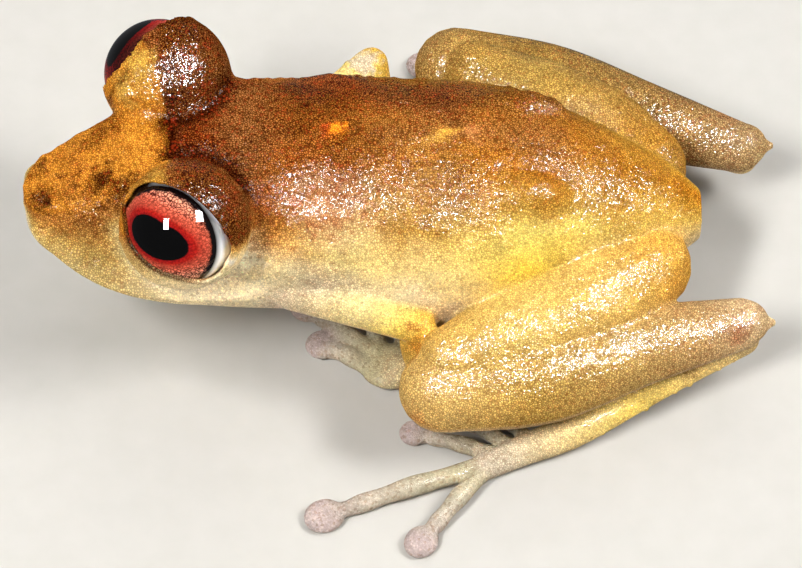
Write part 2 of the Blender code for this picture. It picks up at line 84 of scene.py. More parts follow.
def addRings(bm, rings):
    loops = []
    for ring in rings:
        verts = bmesh.ops.create_circle(bm, segments=len(ring), radius=1)["verts"]
        for vert, place in zip(verts, ring):
            vert.co = place
        loops.append(list({edge for vert in verts for edge in vert.link_edges}))
    for first, second in zip(loops, loops[1:]):
        bmesh.ops.bridge_loops(bm, edges=first + second)
    bmesh.ops.contextual_create(bm, geom=loops[0])
    bmesh.ops.contextual_create(bm, geom=loops[-1])


def addLimb(bm, points, radii, sides=20, count=16, flatness=1.0):
    path = smoothRows([(*point, radius) for point, radius in zip(points, radii)], count)
    capAngles = (20, 40, 60, 78)
    stations = [(path[0], angle) for angle in reversed(capAngles)]
    stations += [(row, 0) for row in path]
    stations += [(path[-1], -angle) for angle in capAngles]
    rings = []
    for index, (row, angle) in enumerate(stations):
        place = min(max(index - len(capAngles), 0), count - 1)
        along = Vector(path[min(place + 1, count - 1)][:3] - path[max(place - 1, 0)][:3]).normalized()
        side = along.cross(Vector((0, 0, 1)))
        side = side.normalized() if side.length > 0.05 else Vector((0, 1, 0))
        up = side.cross(along).normalized()
        size = row[3] * math.cos(math.radians(angle))
        middle = Vector(row[:3]) - along * row[3] * math.sin(math.radians(angle))
        turns = [2 * math.pi * k / sides for k in range(sides)]
        rings.append([middle + side * size * math.cos(turn) + up * size * flatness * math.sin(turn)
                      for turn in turns])
    addRings(bm, rings)


def addBall(bm, centre, radii, along=None, segments=24):
    verts = bmesh.ops.create_uvsphere(bm, u_segments=segments, v_segments=segments // 2, radius=1)["verts"]
    bmesh.ops.scale(bm, vec=radii, verts=verts)
    turn = along.to_track_quat("X", "Z").to_matrix().to_4x4() if along else Matrix()
    bmesh.ops.transform(bm, matrix=Matrix.Translation(centre) @ turn, verts=verts)
    return verts


def addCone(bm, base, tip, baseRadius, tipRadius, segments=20):
    along = tip - base
    turn = along.to_track_quat("Z", "Y").to_matrix().to_4x4()
    bmesh.ops.create_cone(bm, cap_ends=True, segments=segments, radius1=baseRadius, radius2=tipRadius,
                          depth=along.length, matrix=Matrix.Translation((base + tip) / 2) @ turn)


def objectFrom(bm, name):
    bmesh.ops.recalc_face_normals(bm, faces=bm.faces[:])
    mesh = bpy.data.meshes.new(name)
    bm.to_mesh(mesh)
    bm.free()
    piece = bpy.data.objects.new(name, mesh)
    bpy.context.scene.collection.objects.link(piece)
    return piece


def applyModifiers(piece):
    bpy.context.view_layer.update()
    graph = bpy.context.evaluated_depsgraph_get()
    mesh = bpy.data.meshes.new_from_object(piece.evaluated_get(graph))
    piece.modifiers.clear()
    piece.data = mesh


def fuse(piece, voxel, relax):
    remesh = piece.modifiers.new("fuse", "REMESH")
    remesh.mode = "VOXEL"
    remesh.voxel_size = voxel
    smooth = piece.modifiers.new("relax", "SMOOTH")
    smooth.factor = 0.5
    smooth.iterations = relax
    applyModifiers(piece)


def subtract(piece, cutter):
    change = piece.modifiers.new("cut", "BOOLEAN")
    change.operation = "DIFFERENCE"
    change.object = cutter
    change.solver = "MANIFOLD"
    applyModifiers(piece)
    bpy.data.objects.remove(cutter)


def lookThrough(pixel):
    # the camera's line of sight through a pixel of the photograph
    scale = photo["distance"] * photo["pixelsPerMm"]
    ray = (-photo["back"] + Vector((1, 0, 0)) * (pixel[0] - photo["width"] / 2) / scale
           - photo["up"] * (pixel[1] - photo["height"] / 2) / scale)
    return ray.normalized()


# Head, eyes and body

head = {
    # x, crown height, canthus half-width, canthus height, lip half-width, lip height, chin height
    "stations": (
        (0.10, 7.12, 0.45, 6.95, 0.50, 6.60, 6.40),
        (0.45, 7.35, 1.05, 7.12, 1.15, 6.18, 5.80),
        (1.15, 7.66, 1.38, 7.42, 1.95, 5.78, 5.16),
        (2.10, 8.08, 1.66, 7.85, 2.80, 5.44, 4.62),
        (3.30, 8.62, 1.92, 8.40, 3.46, 5.18, 4.14),
        (4.60, 9.08, 2.15, 8.80, 3.86, 5.06, 3.72),
        (6.00, 9.34, 2.45, 8.90, 4.12, 5.03, 3.30),
        (7.60, 9.36, 2.95, 8.45, 4.30, 5.05, 2.70),
        (9.20, 9.28, 3.25, 8.20, 4.35, 5.05, 2.10),
    ),
    "neck": 8.9,
    "yaw": math.radians(7.5),        # the head looks a little to the frog's left
    "nostril": (46, 202),            # pixel of the photograph
    "nostrilRadius": 0.15,
    "nostrilDepth": 0.34,
    "lipRadius": 0.30,
    "lipLift": 0.18,
    "papilla": (0.45, 0.0, 6.88),
    "papillaTip": (0.05, 0.0, 6.86),
    "papillaRadius": (0.34, 0.14),
    "tympanum": (8.05, 4.25, 6.45),
    "tympanumRadius": 0.60,
}
eye = {
    "centre": (5.50, 3.49, 8.54),
    "radius": 2.05,
    "lidCentre": (0.26, -0.14, 0.0),     # middle of the lids from the middle of the globe
    "lidRadius": 2.34,
    # the edge of the lids round the near eye, as pixels of the photograph
    "lidMargin": ((152, 182), (170, 185), (190, 194), (210, 210), (224, 228), (232, 244),
                  (230, 262), (217, 277), (197, 279), (176, 275), (157, 268), (141, 255),
                  (131, 240), (127, 220), (128, 202), (136, 188)),
    "rimRadius": 0.075,
    "rimOut": 0.05,                      # the rims stand out from the globe
    "lidThickness": 0.11,
    # the middle of the iris, left and right: the right eye is rolled up, and its lids with it
    "gazeAxis": {-1: Vector((-0.545, -0.722, 0.430)).normalized(),
                 1: Vector((-0.66, 0.54, 0.52)).normalized()},
    "lidTurn": {-1: 0.0, 1: math.radians(-13)},
    "lidDrop": {-1: Vector(), 1: Vector((0.0, 0.46, 0.45))},
    "lidBlend": 0.06,                    # roundness where the lid's thickness takes over
}
torso = {
    # x, height of the centre line, half-width, half-depth
    "stations": (
        (5.0, 6.40, 3.10, 2.50),
        (7.5, 6.10, 4.00, 3.15),
        (10.1, 5.65, 4.35, 3.60),
        (12.0, 5.15, 4.70, 4.05),
        (13.8, 4.72, 4.85, 4.30),
        (16.7, 4.72, 4.70, 4.20),
        (18.6, 4.80, 4.15, 3.80),
        (20.4, 4.80, 3.30, 3.15),
        (22.4, 4.55, 2.45, 2.30),
        (23.9, 4.30, 1.65, 1.60),
        (24.85, 4.15, 0.85, 0.95),
    ),
    "scapula": ((11.3, 2.3, 7.6), (2.0, 1.3, 1.1)),
    "ilium": ((17.8, 1.9, 7.55), (2.2, 0.9, 1.1)),
}
skin = {
    "trunkVoxel": 0.10,
    "voxel": 0.085,                  # grain of the fused skin
    "relax": 3,
    "triangles": 188000,
    "warts": 700,
    "seed": 11,
}

# The head is modelled straight and turned about the neck
headTurn = (Matrix.Translation((head["neck"], 0, 0)) @ Matrix.Rotation(head["yaw"], 4, "Z")
            @ Matrix.Translation((-head["neck"], 0, 0)))


def lidEdge(side, reach):
    # the edge of the lids on one eye, at a distance from the middle of the globe, in the straight head
    middle = onSide(eye["centre"], -1)
    camera = headTurn.inverted() @ photo["eye"]
    ways = []
    for pixel in eye["lidMargin"]:
        ray = headTurn.inverted().to_3x3() @ lookThrough(pixel)
        nearest = camera + ray * (middle - camera).dot(ray) - middle
        depth = math.sqrt(max(0.0, eye["radius"] ** 2 - nearest.length_squared))
        ways.append((nearest - ray * depth).normalized())
    ways = [Vector(row).normalized() for row in smoothRows(ways + ways[:1], 49)[:-1]]
    # the lids of the right eye are rolled back and open lower at the front
    roll = Matrix.Rotation(eye["lidTurn"][side], 3, "X")
    edge = []
    for way in ways:
        way = roll @ Vector((way.x, -way.y * side, way.z))
        outward = min(max(way.y * side + 0.5, 0) * 2, 1)
        forward = min(max(-way.x - 0.3, 0) / 0.55, 1)
        way = (way - eye["lidDrop"][side] * (outward * forward)).normalized()
        edge.append(onSide(eye["centre"], side) + way * reach)
    return edge


def headRing(row, sides=40):
    x, crown, canthusY, canthusZ, lipY, lipZ, chin = row
    jaw = lipZ - 0.45 * (lipZ - chin)
    half = [
        (0.0, crown),
        (canthusY * 0.62, crown - 0.25 * (crown - canthusZ)),
        (canthusY, canthusZ),
        (canthusY + 0.42 * (lipY - canthusY), canthusZ - 0.52 * (canthusZ - lipZ)),      # cheek
        (lipY, lipZ + 0.10),
        (lipY * 0.93, jaw),
        (lipY * 0.62, chin + 0.22 * (jaw - chin)),       # throat
        (0.0, chin),
    ]
    whole = half + [(-y, z) for y, z in half[-2:0:-1]] + [half[0]]
    return [Vector((x, y, z)) for y, z in smoothRows(whole, sides + 1)][:-1]


def torsoRing(row, sides=40):
    x, centre, halfWidth, halfDepth = row
    turns = [2 * math.pi * k / sides for k in range(sides)]
    return [Vector((x, halfWidth * math.sin(turn), centre + halfDepth * math.cos(turn))) for turn in turns]


def lipLine(side, lift=0.0, out=0.0):
    return [Vector((row[0] - out, side * (row[4] + out), row[5] + lift)) for row in head["stations"][1:-1]]


# Trunk: head and body in one, with the sockets of the eyes cut out
bm = bmesh.new()
addRings(bm, [headRing(row) for row in smoothRows(head["stations"], 30)])
for side in (-1, 1):
    middle = onSide(eye["centre"], side)
    addBall(bm, middle + onSide(eye["lidCentre"], side), (eye["lidRadius"],) * 3, segments=40)
lip = lipLine(-1, head["lipLift"])[::-1] + lipLine(1, head["lipLift"])
addLimb(bm, lip, [head["lipRadius"]] * len(lip), count=50)
addCone(bm, Vector(head["papilla"]), Vector(head["papillaTip"]), *head["papillaRadius"])
bmesh.ops.transform(bm, matrix=headTurn, verts=bm.verts[:])
addRings(bm, [torsoRing(row) for row in smoothRows(torso["stations"], 40)])
for side in (-1, 1):
    for centre, radii in (torso["scapula"], torso["ilium"]):
        addBall(bm, onSide(centre, side), radii)
trunk = objectFrom(bm, "trunk")
fuse(trunk, skin["trunkVoxel"], 2)

evening = {
    # the skin flows evenly from the snout and cheeks onto the lids, and over the hips
    "headEnd": 9.5,                  # x
    "headShare": 0.25,
    "snoutEnd": 4.5,
    "snoutShare": 0.55,
    "lid": (2.45, 0.9),              # distance from the middle of the eye, and width of the ring
    "hipStart": 14.0,
    "hip": (3.4, 0.8),               # distance from the middle of the hump, and fading width
    "steps": 50,
    # the hollow round the foot of each lid is softened once more
    "foot": (2.45, 0.3, 3.9, 0.6),   # start and rise, end and fall
    "footSteps": 45,
}


def eyeDistance(place):
    return min((place - headTurn @ onSide(eye["centre"], side)).length for side in (-1, 1))


def flowShare(place):
    if place.x < evening["headEnd"]:
        ring = 1 - abs(eyeDistance(place) - evening["lid"][0]) / evening["lid"][1]
        return max(ring, evening["snoutShare"] if place.x < evening["snoutEnd"] else evening["headShare"])
    if place.x > evening["hipStart"]:
        gap = min((place - onSide(torso["ilium"][0], side)).length for side in (-1, 1))
        return max(0.0, min(1.0, (evening["hip"][0] - gap) / evening["hip"][1]))
    return 0.0


def footShare(place):
    if place.x >= evening["headEnd"]:
        return 0.0
    start, rise, end, fall = evening["foot"]
    gap = eyeDistance(place)
    return max(0.0, min((gap - start) / rise, (end - gap) / fall, 1.0))


def soften(piece, shareAt, steps):
    group = piece.vertex_groups.new(name="soft")
    for vert in piece.data.vertices:
        group.add([vert.index], shareAt(vert.co), "REPLACE")
    smooth = piece.modifiers.new("soften", "SMOOTH")
    smooth.factor = 0.5
    smooth.iterations = steps
    smooth.vertex_group = group.name
    applyModifiers(piece)


soften(trunk, flowShare, evening["steps"])
# the lids keep their thickness over the globes
for side in (-1, 1):
    middle = headTurn @ onSide(eye["centre"], side)
    blend = eye["lidBlend"]
    for vert in trunk.data.vertices:
        away = vert.co - middle
        spare = away.length - eye["radius"] - eye["lidThickness"]
        if spare < 5 * blend:
            lifted = away.length - spare + blend * math.log1p(math.exp(spare / blend))
            vert.co = middle + away.normalized() * lifted
soften(trunk, footShare, evening["footSteps"])
# the sockets, and the openings between the lids
for side in (-1, 1):
    socket = bmesh.new()
    addBall(socket, onSide(eye["centre"], side), (eye["radius"] - 0.02,) * 3, segments=64)
    bmesh.ops.transform(socket, matrix=headTurn, verts=socket.verts[:])
    subtract(trunk, objectFrom(socket, "socket"))
    opening = bmesh.new()
    middle, edge = onSide(eye["centre"], side), lidEdge(side, eye["radius"])
    axis = sum(((place - middle) for place in edge), Vector()).normalized()
    flat = [place - axis * axis.dot(place - middle) for place in edge]
    inside = [middle.lerp(place, 0.5) + axis * 0.1 for place in flat]
    addRings(opening, [inside, edge, [middle.lerp(place, 1.15) + axis * 4 for place in flat]])
    bmesh.ops.transform(opening, matrix=headTurn, verts=opening.verts[:])
    subtract(trunk, objectFrom(opening, "opening"))
print("trunk fused,", len(trunk.data.polygons), "faces")


# Limbs, and the rims of the lids, each gathered in a small mesh because the operators slow down on a big one

joints = {
    # left and right, in millimetres, y as distance from the midline
    -1: {
        "shoulder": (9.9, 3.8, 4.7), "armBend": (12.3, 4.9, 5.0), "elbow": (14.45, 5.25, 4.4),
        "wrist": (14.6, 4.95, 0.90), "palm": (13.45, 4.25, 0.42),
        "hip": (22.8, 2.3, 4.0), "thighBack": (21.1, 3.6, 3.95), "thighFront": (18.2, 5.2, 3.85),
        "thighKnee": (15.7, 6.5, 4.2), "knee": (15.35, 7.25, 3.3), "heel": (26.15, 4.15, 3.0),
    },
    1: {
        "shoulder": (9.7, 3.3, 4.5), "armBend": (11.3, 5.3, 4.4), "elbow": (12.7, 7.15, 4.1),
        "wrist": (12.9, 5.0, 0.95), "palm": (12.2, 4.4, 0.42),
        "hip": (22.8, 2.3, 4.0), "thighBack": (21.1, 3.7, 3.95), "thighFront": (18.8, 5.3, 3.85),
        "thighKnee": (16.7, 6.7, 4.1), "knee": (15.95, 7.55, 3.3), "heel": (26.5, 4.1, 2.9),
    },
}
limb = {
    # radii along each piece
    "upperArm": (0.80, 0.70, 0.66),
    "forearm": (0.64, 0.74, 0.60, 0.52, 0.50),
    "thigh": (1.65, 2.00, 1.90, 1.25),
    "shank": (1.62, 1.90, 1.50, 0.98),
    "tarsus": (0.66, 0.60, 0.66, 0.56, 0.52),
    "palm": (1.15, 1.0, 0.42),                   # half sizes of the palm's ball
    "ankle": (20.2, 7.25, 0.75),                 # places on the left foot, y from the midline
    "sole": (16.9, 8.65, 0.42),
    "heelTubercle": 1.35,                        # reach of its tip behind the heel
    "farFootTurn": math.radians(15),             # the right foot is turned about its ankle and moved
    "farFootShift": Vector((1.1, 0.0, 0.0)),
    "discHeight": 0.34,
    "tipHeight": 0.24,
    "heelMiddle": Vector((0.15, 0.0, 0.10)),     # middle of the joint's ball, from the heel
    "heelBall": (0.95, 0.85, 0.85),
    "heelCone": (0.62, 0.10),                    # radii of the pointed tubercle
    "shankBend": (0.15, -0.12),
    "tarsusStart": (0.15, 0.10, -0.75),          # from the heel
    "fringeCount": 11,                           # small tubercles along the tarsus
    "fringeSize": (0.14, 0.035),
    "fringeOut": 0.60,
    # x and distance from the midline of each tip (fingers from the palm), disc and digit radius
    "fingers": ((0.65, -1.75, 0.40, 0.26), (-0.95, -2.55, 0.48, 0.28),
                (-3.15, -2.80, 0.62, 0.34), (-2.55, -1.10, 0.62, 0.33)),
    "fingerRoots": ((0.25, -0.55, 0.0), (-0.3, -0.6, 0.0), (-0.55, -0.45, 0.0), (-0.6, 0.2, 0.0)),
    "toes": ((17.60, 6.60, 0.38, 0.24), (15.90, 6.45, 0.46, 0.26), (14.30, 7.10, 0.52, 0.29),
             (11.05, 10.70, 0.70, 0.34), (14.55, 11.80, 0.62, 0.32)),
    "toeRoots": (0.45, 0.62, 0.8, 1.0, 0.95),    # share of the way from ankle to sole
}
forms = [trunk]
lids = bmesh.new()
for side in (-1, 1):
    edge = lidEdge(side, eye["radius"] + eye["rimOut"])
    addLimb(lids, edge + edge[:1], [eye["rimRadius"]] * (len(edge) + 1), sides=12, count=97)
bmesh.ops.transform(lids, matrix=headTurn, verts=lids.verts[:])
forms.append(objectFrom(lids, "rims"))


def footPlace(place, side):
    if side < 0:
        return onSide(place, -1)
    ankle = onSide(limb["ankle"], 1)
    turn = Matrix.Rotation(limb["farFootTurn"], 4, "Z")
    return turn @ (onSide(place, 1) - ankle) + ankle + limb["farFootShift"]


def addDigit(bm, root, tip, disc, radius):
    middle = root.lerp(tip, 0.5) + Vector((0, 0, 0.16))
    nearTip = root.lerp(tip, 0.86) + Vector((0, 0, 0.02))
    joint1, joint2 = root.lerp(middle, 0.9), middle.lerp(nearTip, 0.75)
    radii = [radius * share for share in (1.25, 1.02, 1.16, 0.95, 1.08, 0.86, 0.95)]
    points = [root, root.lerp(middle, 0.5), joint1, middle.lerp(nearTip, 0.35), joint2, nearTip, tip]
    addLimb(bm, points, radii, sides=14, count=26)
    along = (tip - nearTip).normalized()
    addBall(bm, tip, (disc * 1.10, disc, limb["discHeight"]), along)
    # two low scutes on top of the disc
    across = along.cross(Vector((0, 0, 1))).normalized()
    for turn in (-1, 1):
        upward = Vector((0, 0, limb["discHeight"] * 0.62))
        scute = tip + along * disc * 0.2 + across * disc * 0.34 * turn + upward
        addBall(bm, scute, (disc * 0.62, disc * 0.40, 0.16), along)


lines = {}
for side in (-1, 1):
    at = {name: onSide(place, side) for name, place in joints[side].items()}
    elbow, wrist, palm, knee, heel = at["elbow"], at["wrist"], at["palm"], at["knee"], at["heel"]
    lines["upperArm", side] = ([at["shoulder"], at["armBend"], at["armBend"].lerp(elbow, 0.85), elbow],
                               (*limb["upperArm"], 0.64))
    lines["forearm", side] = ([elbow, elbow.lerp(wrist, 0.35), elbow.lerp(wrist, 0.75), wrist,
                               wrist.lerp(palm, 0.7)], limb["forearm"])
    lines["thigh", side] = ([at["hip"], at["thighBack"], at["thighFront"], at["thighKnee"]], limb["thigh"])
    bend = knee.lerp(heel, 0.33) + Vector((0, side * limb["shankBend"][0], limb["shankBend"][1]))
    lines["shank", side] = ([knee, bend, knee.lerp(heel, 0.66), heel], limb["shank"])
    start = heel + onSide(limb["tarsusStart"], side)
    ankle, sole = footPlace(limb["ankle"], side), footPlace(limb["sole"], side)
    lines["tarsus", side] = ([start, start.lerp(ankle, 0.5), ankle, ankle.lerp(sole, 0.6), sole],
                             limb["tarsus"])
    bm = bmesh.new()
    for name in ("upperArm", "forearm", "thigh", "tarsus"):
        addLimb(bm, *lines[name, side])
    addLimb(bm, *lines["shank", side], sides=28, count=24, flatness=0.95)
    # the ball of the heel and its pointed tubercle, and the palm
    addCone(bm, heel + Vector((0.3, 0, 0)), heel + Vector((limb["heelTubercle"], 0, 0.1)), *limb["heelCone"])
    addBall(bm, heel + limb["heelMiddle"], limb["heelBall"])
    addBall(bm, palm, limb["palm"])
    # fringe of small tubercles along the outer edge of the tarsus
    outer = (ankle - start).cross(Vector((0, 0, 1))).normalized()
    outer = outer if outer.y * side > 0 else -outer
    for index in range(limb["fringeCount"]):
        place = start.lerp(ankle, 0.10 + 0.088 * index) + outer * (limb["fringeOut"] - 0.02 * (index % 3))
        size = limb["fringeSize"][0] + limb["fringeSize"][1] * math.sin(index * 2.3)
        addBall(bm, place, (size, size * 1.1, size), segments=12)
    forms.append(objectFrom(bm, "limbs"))
    tips = [(palm + onSide(root, side), Vector((palm.x + row[0], palm.y + side * row[1], limb["tipHeight"])),
             row) for row, root in zip(limb["fingers"], limb["fingerRoots"])]
    tips += [(ankle.lerp(sole, share), footPlace((row[0], row[1], limb["tipHeight"]), side), row)
             for row, share in zip(limb["toes"], limb["toeRoots"])]
    for index, (root, target, row) in enumerate(tips):
        lines["digit", side, index] = ([root, root.lerp(target, 0.5), target], (row[3], row[3], row[2]))
        bm = bmesh.new()
        addDigit(bm, root, target, row[2], row[3])
        forms.append(objectFrom(bm, "digit"))
bm = bmesh.new()
for form in forms:
    bm.from_mesh(form.data)
    bpy.data.objects.remove(form)
body = objectFrom(bm, "skin")
fuse(body, skin["voxel"], skin["relax"])
print("skin fused,", len(body.data.polygons), "faces")

# Folds, pits and warts are pressed into the fused skin by moving its vertices along their normals

def arrays(piece):
    count = len(piece.data.vertices)
    co, normal = np.empty(count * 3), np.empty(count * 3)
    piece.data.vertices.foreach_get("co", co)
    piece.data.vertices.foreach_get("normal", normal)
    return co.reshape(-1, 3), normal.reshape(-1, 3)


def alongLine(co, points):
    # distance of every vertex from a line of points, and its place along the line from 0 to 1
    points = np.array([tuple(p) for p in points], float)
    best, place = np.full(len(co), 1e9), np.zeros(len(co))
    for index, (a, b) in enumerate(zip(points, points[1:])):
        span = b - a
        t = np.clip((co - a) @ span / max(span @ span, 1e-9), 0, 1)
        gap = np.linalg.norm(co - a - t[:, None] * span, axis=1)
        nearer = gap < best
        best[nearer] = gap[nearer]
        place[nearer] = ((index + t) / (len(points) - 1))[nearer]
    return best, place


def ramp(value, low, high):
    t = np.clip((value - low) / (high - low), 0, 1)
    return t * t * (3 - 2 * t)


def turned(place):
    return headTurn @ Vector(place)


def skinTree(piece):
    return BVHTree.FromPolygons([v.co for v in piece.data.vertices],
                                [p.vertices for p in piece.data.polygons])


def onSkin(tree, pixel):
    # the place on the frog that a pixel of the photograph shows
    ray = lookThrough(pixel)
    hit = tree.ray_cast(photo["eye"], ray)[0]
    if hit is None:                  # just outside the outline: the nearest place on the frog
        hit = tree.find_nearest(photo["eye"] + ray * photo["distance"])[0]
    return hit


def otherSide(place):
    # the same place on the other side of the frog, with the turn of the head taken into account
    if place.x < head["neck"]:
        straight = headTurn.inverted() @ place
        return headTurn @ Vector((straight.x, -straight.y, straight.z))
    return Vector((place.x, -place.y, place.z))


relief = {
    # furrows: pixels of the photograph, half-width and depth in millimetres
    "lidFurrow": (((168, 158), (190, 153), (212, 158), (230, 170), (243, 188)), 0.34, 0.16),
    "lidFront": (((150, 172), (136, 182), (126, 196)), 0.25, 0.07),
    "shoulderFold": (((262, 262), (290, 258), (318, 262)), 0.30, 0.05),
    "calfGroove": (((470, 372), (540, 350), (620, 330)), 0.35, 0.04),
    "mouthDepth": 0.13,
    "mouthWidth": 0.10,
    # raised rims: height, distance from the middle and half-width
    "lipRoll": (0.05, 0.26, 0.12),
    "nostrilRim": (0.07, 0.26, 0.09),
    "tympanumRim": (0.04, head["tympanumRadius"], 0.10),
    "tympanumDepth": 0.05,
    "wartHeight": (0.025, 0.075),
    "wartRadius": (0.10, 0.21),
}


def rim(gap, height, middle, width):
    return height * np.exp(-((gap - middle) / width) ** 2)


co, normal = arrays(body)
tree = skinTree(body)
push = np.zeros(len(co))
for name in ("lidFurrow", "lidFront", "shoulderFold", "calfGroove"):
    pixels, width, depth = relief[name]
    path = [onSkin(tree, pixel) for pixel in pixels]
    for line in (path, [otherSide(place) for place in path]):
        gap, place = alongLine(co, line)
        push -= depth * np.exp(-(gap / width) ** 2) * np.sin(np.clip(place, 0.06, 0.94) * math.pi) ** 0.5
# line of the mouth
mouth = [turned(place) for place in lipLine(-1, -0.06, 0.12)[::-1] + lipLine(1, -0.06, 0.12)]
mouthGap, _ = alongLine(co, mouth)
push -= relief["mouthDepth"] * np.exp(-(mouthGap / relief["mouthWidth"]) ** 2)
push += rim(mouthGap, *relief["lipRoll"])
nostril = onSkin(tree, head["nostril"])
for side, nose in ((-1, nostril), (1, otherSide(nostril))):
    gap = np.linalg.norm(co - np.array(nose), axis=1)
    push += rim(gap, *relief["nostrilRim"]) - rim(gap, head["nostrilDepth"], 0, head["nostrilRadius"])
    gap = np.linalg.norm(co - np.array(turned(onSide(head["tympanum"], side))), axis=1)
    push += rim(gap, *relief["tympanumRim"]) - relief["tympanumDepth"] * (1 - ramp(gap, 0.30, 0.60))
# warts over the back, the lids and the flanks
rng = np.random.default_rng(skin["seed"])
eyes = np.array([turned(onSide(eye["centre"], side)) for side in (-1, 1)])
eyeGap = np.min(np.linalg.norm(co[:, None] - eyes[None], axis=2), axis=1)
finder = kdtree.KDTree(len(co))
for index, place in enumerate(co):
    finder.insert(place, index)
finder.balance()
roomy = np.flatnonzero((co[:, 2] > 4.5) & (normal[:, 2] > -0.1) & (eyeGap > 2.15) & (mouthGap > 0.5))
for index in rng.choice(roomy, skin["warts"], replace=False):
    size, height = rng.uniform(*relief["wartRadius"]), rng.uniform(*relief["wartHeight"])
    for _, near, gap in finder.find_range(co[index], size * 2):
        push[near] += height * math.exp(-(gap / size) ** 2)
co += normal * push[:, None]
# soles, palms and belly rest flat on the floor
co[:, 2] = np.maximum(co[:, 2], 0.0)
body.data.vertices.foreach_set("co", co.ravel())
body.data.update()
thin = body.modifiers.new("thin", "DECIMATE")
thin.ratio = skin["triangles"] / (2 * len(body.data.polygons))
applyModifiers(body)
print("skin mended" if body.data.validate() else "skin is sound")
print("skin sculpted,", len(body.data.polygons), "faces")


# Colours

def linear(code):
    parts = [int(code[k:k + 2], 16) / 255 for k in (1, 3, 5)]
    return [v / 12.92 if v <= 0.04045 else ((v + 0.055) / 1.055) ** 2.4 for v in parts]


def shades(value, stops):
    # colours read along a list of (value, hex) stops
    at = [stop[0] for stop in stops]
    colours = np.array([linear(stop[1]) for stop in stops])
    return np.stack([np.interp(value, at, colours[:, k]) for k in range(3)], axis=1)


def mixed(base, colour, share):
    return base + (np.array(colour) - base) * share[:, None]


def cloudy(co, size, seed):
    # soft irregular clouds between -1 and 1, with fields of a size in millimetres
    offset = Vector((seed * 11.3, seed * 5.7, seed * 3.1))
    return np.array([noise.noise(Vector(place) / size + offset) for place in co])


paint = {
    # colour round the body, from the spine (0 degrees) to the middle of the belly (180), at places along it
    "shoulder": (9.5, ((0, "#6f4016"), (24, "#8e5018"), (48, "#b48038"), (66, "#cf9d58"), (84, "#dac696"),
                       (180, "#d8cab4"))),
    "chest": (11.5, ((0, "#774612"), (18, "#845020"), (32, "#a4804c"), (46, "#cca870"), (62, "#dcc47c"),
                     (95, "#b7a898"), (180, "#d8cab4"))),
    "middle": (14.0, ((0, "#8a5a28"), (14, "#ac752a"), (30, "#b1863d"), (46, "#b3883b"), (64, "#e8c880"),
                      (88, "#e6d6b4"), (180, "#e2d6bc"))),
    "loin": (18.5, ((0, "#98652c"), (16, "#ac6e1e"), (34, "#b08432"), (50, "#dfc664"), (72, "#e8c046"),
                    (96, "#c8a86c"), (180, "#e0d6bc"))),
    "rump": (22.6, ((0, "#ae731e"), (24, "#b9872b"), (50, "#d2ac4f"), (76, "#dcc080"), (180, "#e8dcc4"))),
}
marks = {
    # pixel of the photograph, radius in millimetres, colour, strength
    "canthusBlotch": ((100, 180), 0.66, "#3a1604", 0.90),
    "canthusBlotchRear": ((122, 186), 0.55, "#4a2208", 0.85),
    "canthusLoreal": ((112, 196), 0.50, "#5c2a0c", 0.60),
    "nostrilShade": ((42, 198), 0.55, "#4a240c", 0.85),
    "nostrilShadeFront": ((31, 196), 0.25, "#6a3c16", 0.5),
    "canthusShade": ((70, 190), 0.60, "#7a4a1e", 0.55),
    "cheekShade": ((92, 215), 0.90, "#8a5a26", 0.50),
    "canthusFleck": ((78, 172), 0.45, "#7a4418", 0.50),
    "canthusFleckRear": ((100, 112), 0.40, "#7a4014", 0.40),
    "frontOfEye": ((122, 205), 0.45, "#86561f", 0.55),
    "farLidGold": ((135, 75), 0.80, "#cc9c3c", 0.80),
    "farLidGoldRim": ((122, 92), 0.50, "#cfa348", 0.80),
    "nearLidGold": ((148, 176), 0.50, "#8a5a22", 0.75),
    "nearLidFront": ((165, 170), 0.60, "#6f4216", 0.65),
    "lidCorner": ((232, 262), 0.25, "#e4e2dc", 0.6),
    # painted light: the pale cheek behind the eye is lightened over a hollow where shadow falls
    "paleCheekPaintedLight": ((246, 260), 0.75, "#f8eac4", 0.90),
    "farLidGoldTop": ((140, 62), 0.55, "#cca042", 0.85),
    "farElbow": ((362, 62), 0.70, "#c8b8a0", 0.90),
    "earPale": ((258, 244), 0.55, "#cf9a50", 0.35),
    "earGolden": ((264, 226), 0.90, "#a46a2a", 0.75),
    "underEye": ((138, 262), 0.60, "#8a6a30", 0.35),
    "lidShade": ((190, 168), 0.75, "#6a3612", 0.55),
    "lidRear": ((232, 196), 0.60, "#7c3818", 0.40),
    "browDark": ((196, 140), 0.95, "#6d2c08", 0.55),
    "napeDark": ((205, 112), 0.90, "#74330d", 0.40),
    "earRed": ((262, 200), 0.75, "#8a3c14", 0.45),
    "flankRed": ((330, 203), 1.30, "#a04a20", 0.45),
    "saddleDark": ((445, 98), 1.30, "#67300e", 0.55),
    "saddleFront": ((360, 92), 1.20, "#7a3c14", 0.35),
    "loinDark": ((395, 168), 0.95, "#8a4a1c", 0.40),
    "spotOrange": ((336, 128), 0.24, "#f08a1c", 0.90),
    "spotOrangeFront": ((326, 126), 0.18, "#c8401a", 0.45),
    "spotAmber": ((440, 130), 0.30, "#f4b848", 1.00),
    "spotAmberRear": ((474, 130), 0.20, "#f0a860", 0.80),
    "heelBlotch": ((738, 333), 0.50, "#9a5634", 0.60),
    "heelTip": ((772, 318), 0.35, "#f4e6a8", 0.80),
    "armPatch": ((420, 350), 0.60, "#c8862c", 0.65),
    "armSpot": ((410, 327), 0.22, "#a8521c", 0.60),
    "kneeUnder": ((418, 420), 0.45, "#b86a34", 0.40),
    "tarsusShade": ((690, 372), 0.45, "#a98550", 0.40),
}

co, normal = arrays(body)
tree = skinTree(body)
x, y, z = co.T
straight = np.array(headTurn.inverted())
hx, hy, hz = (co @ straight[:3, :3].T + straight[:3, 3]).T

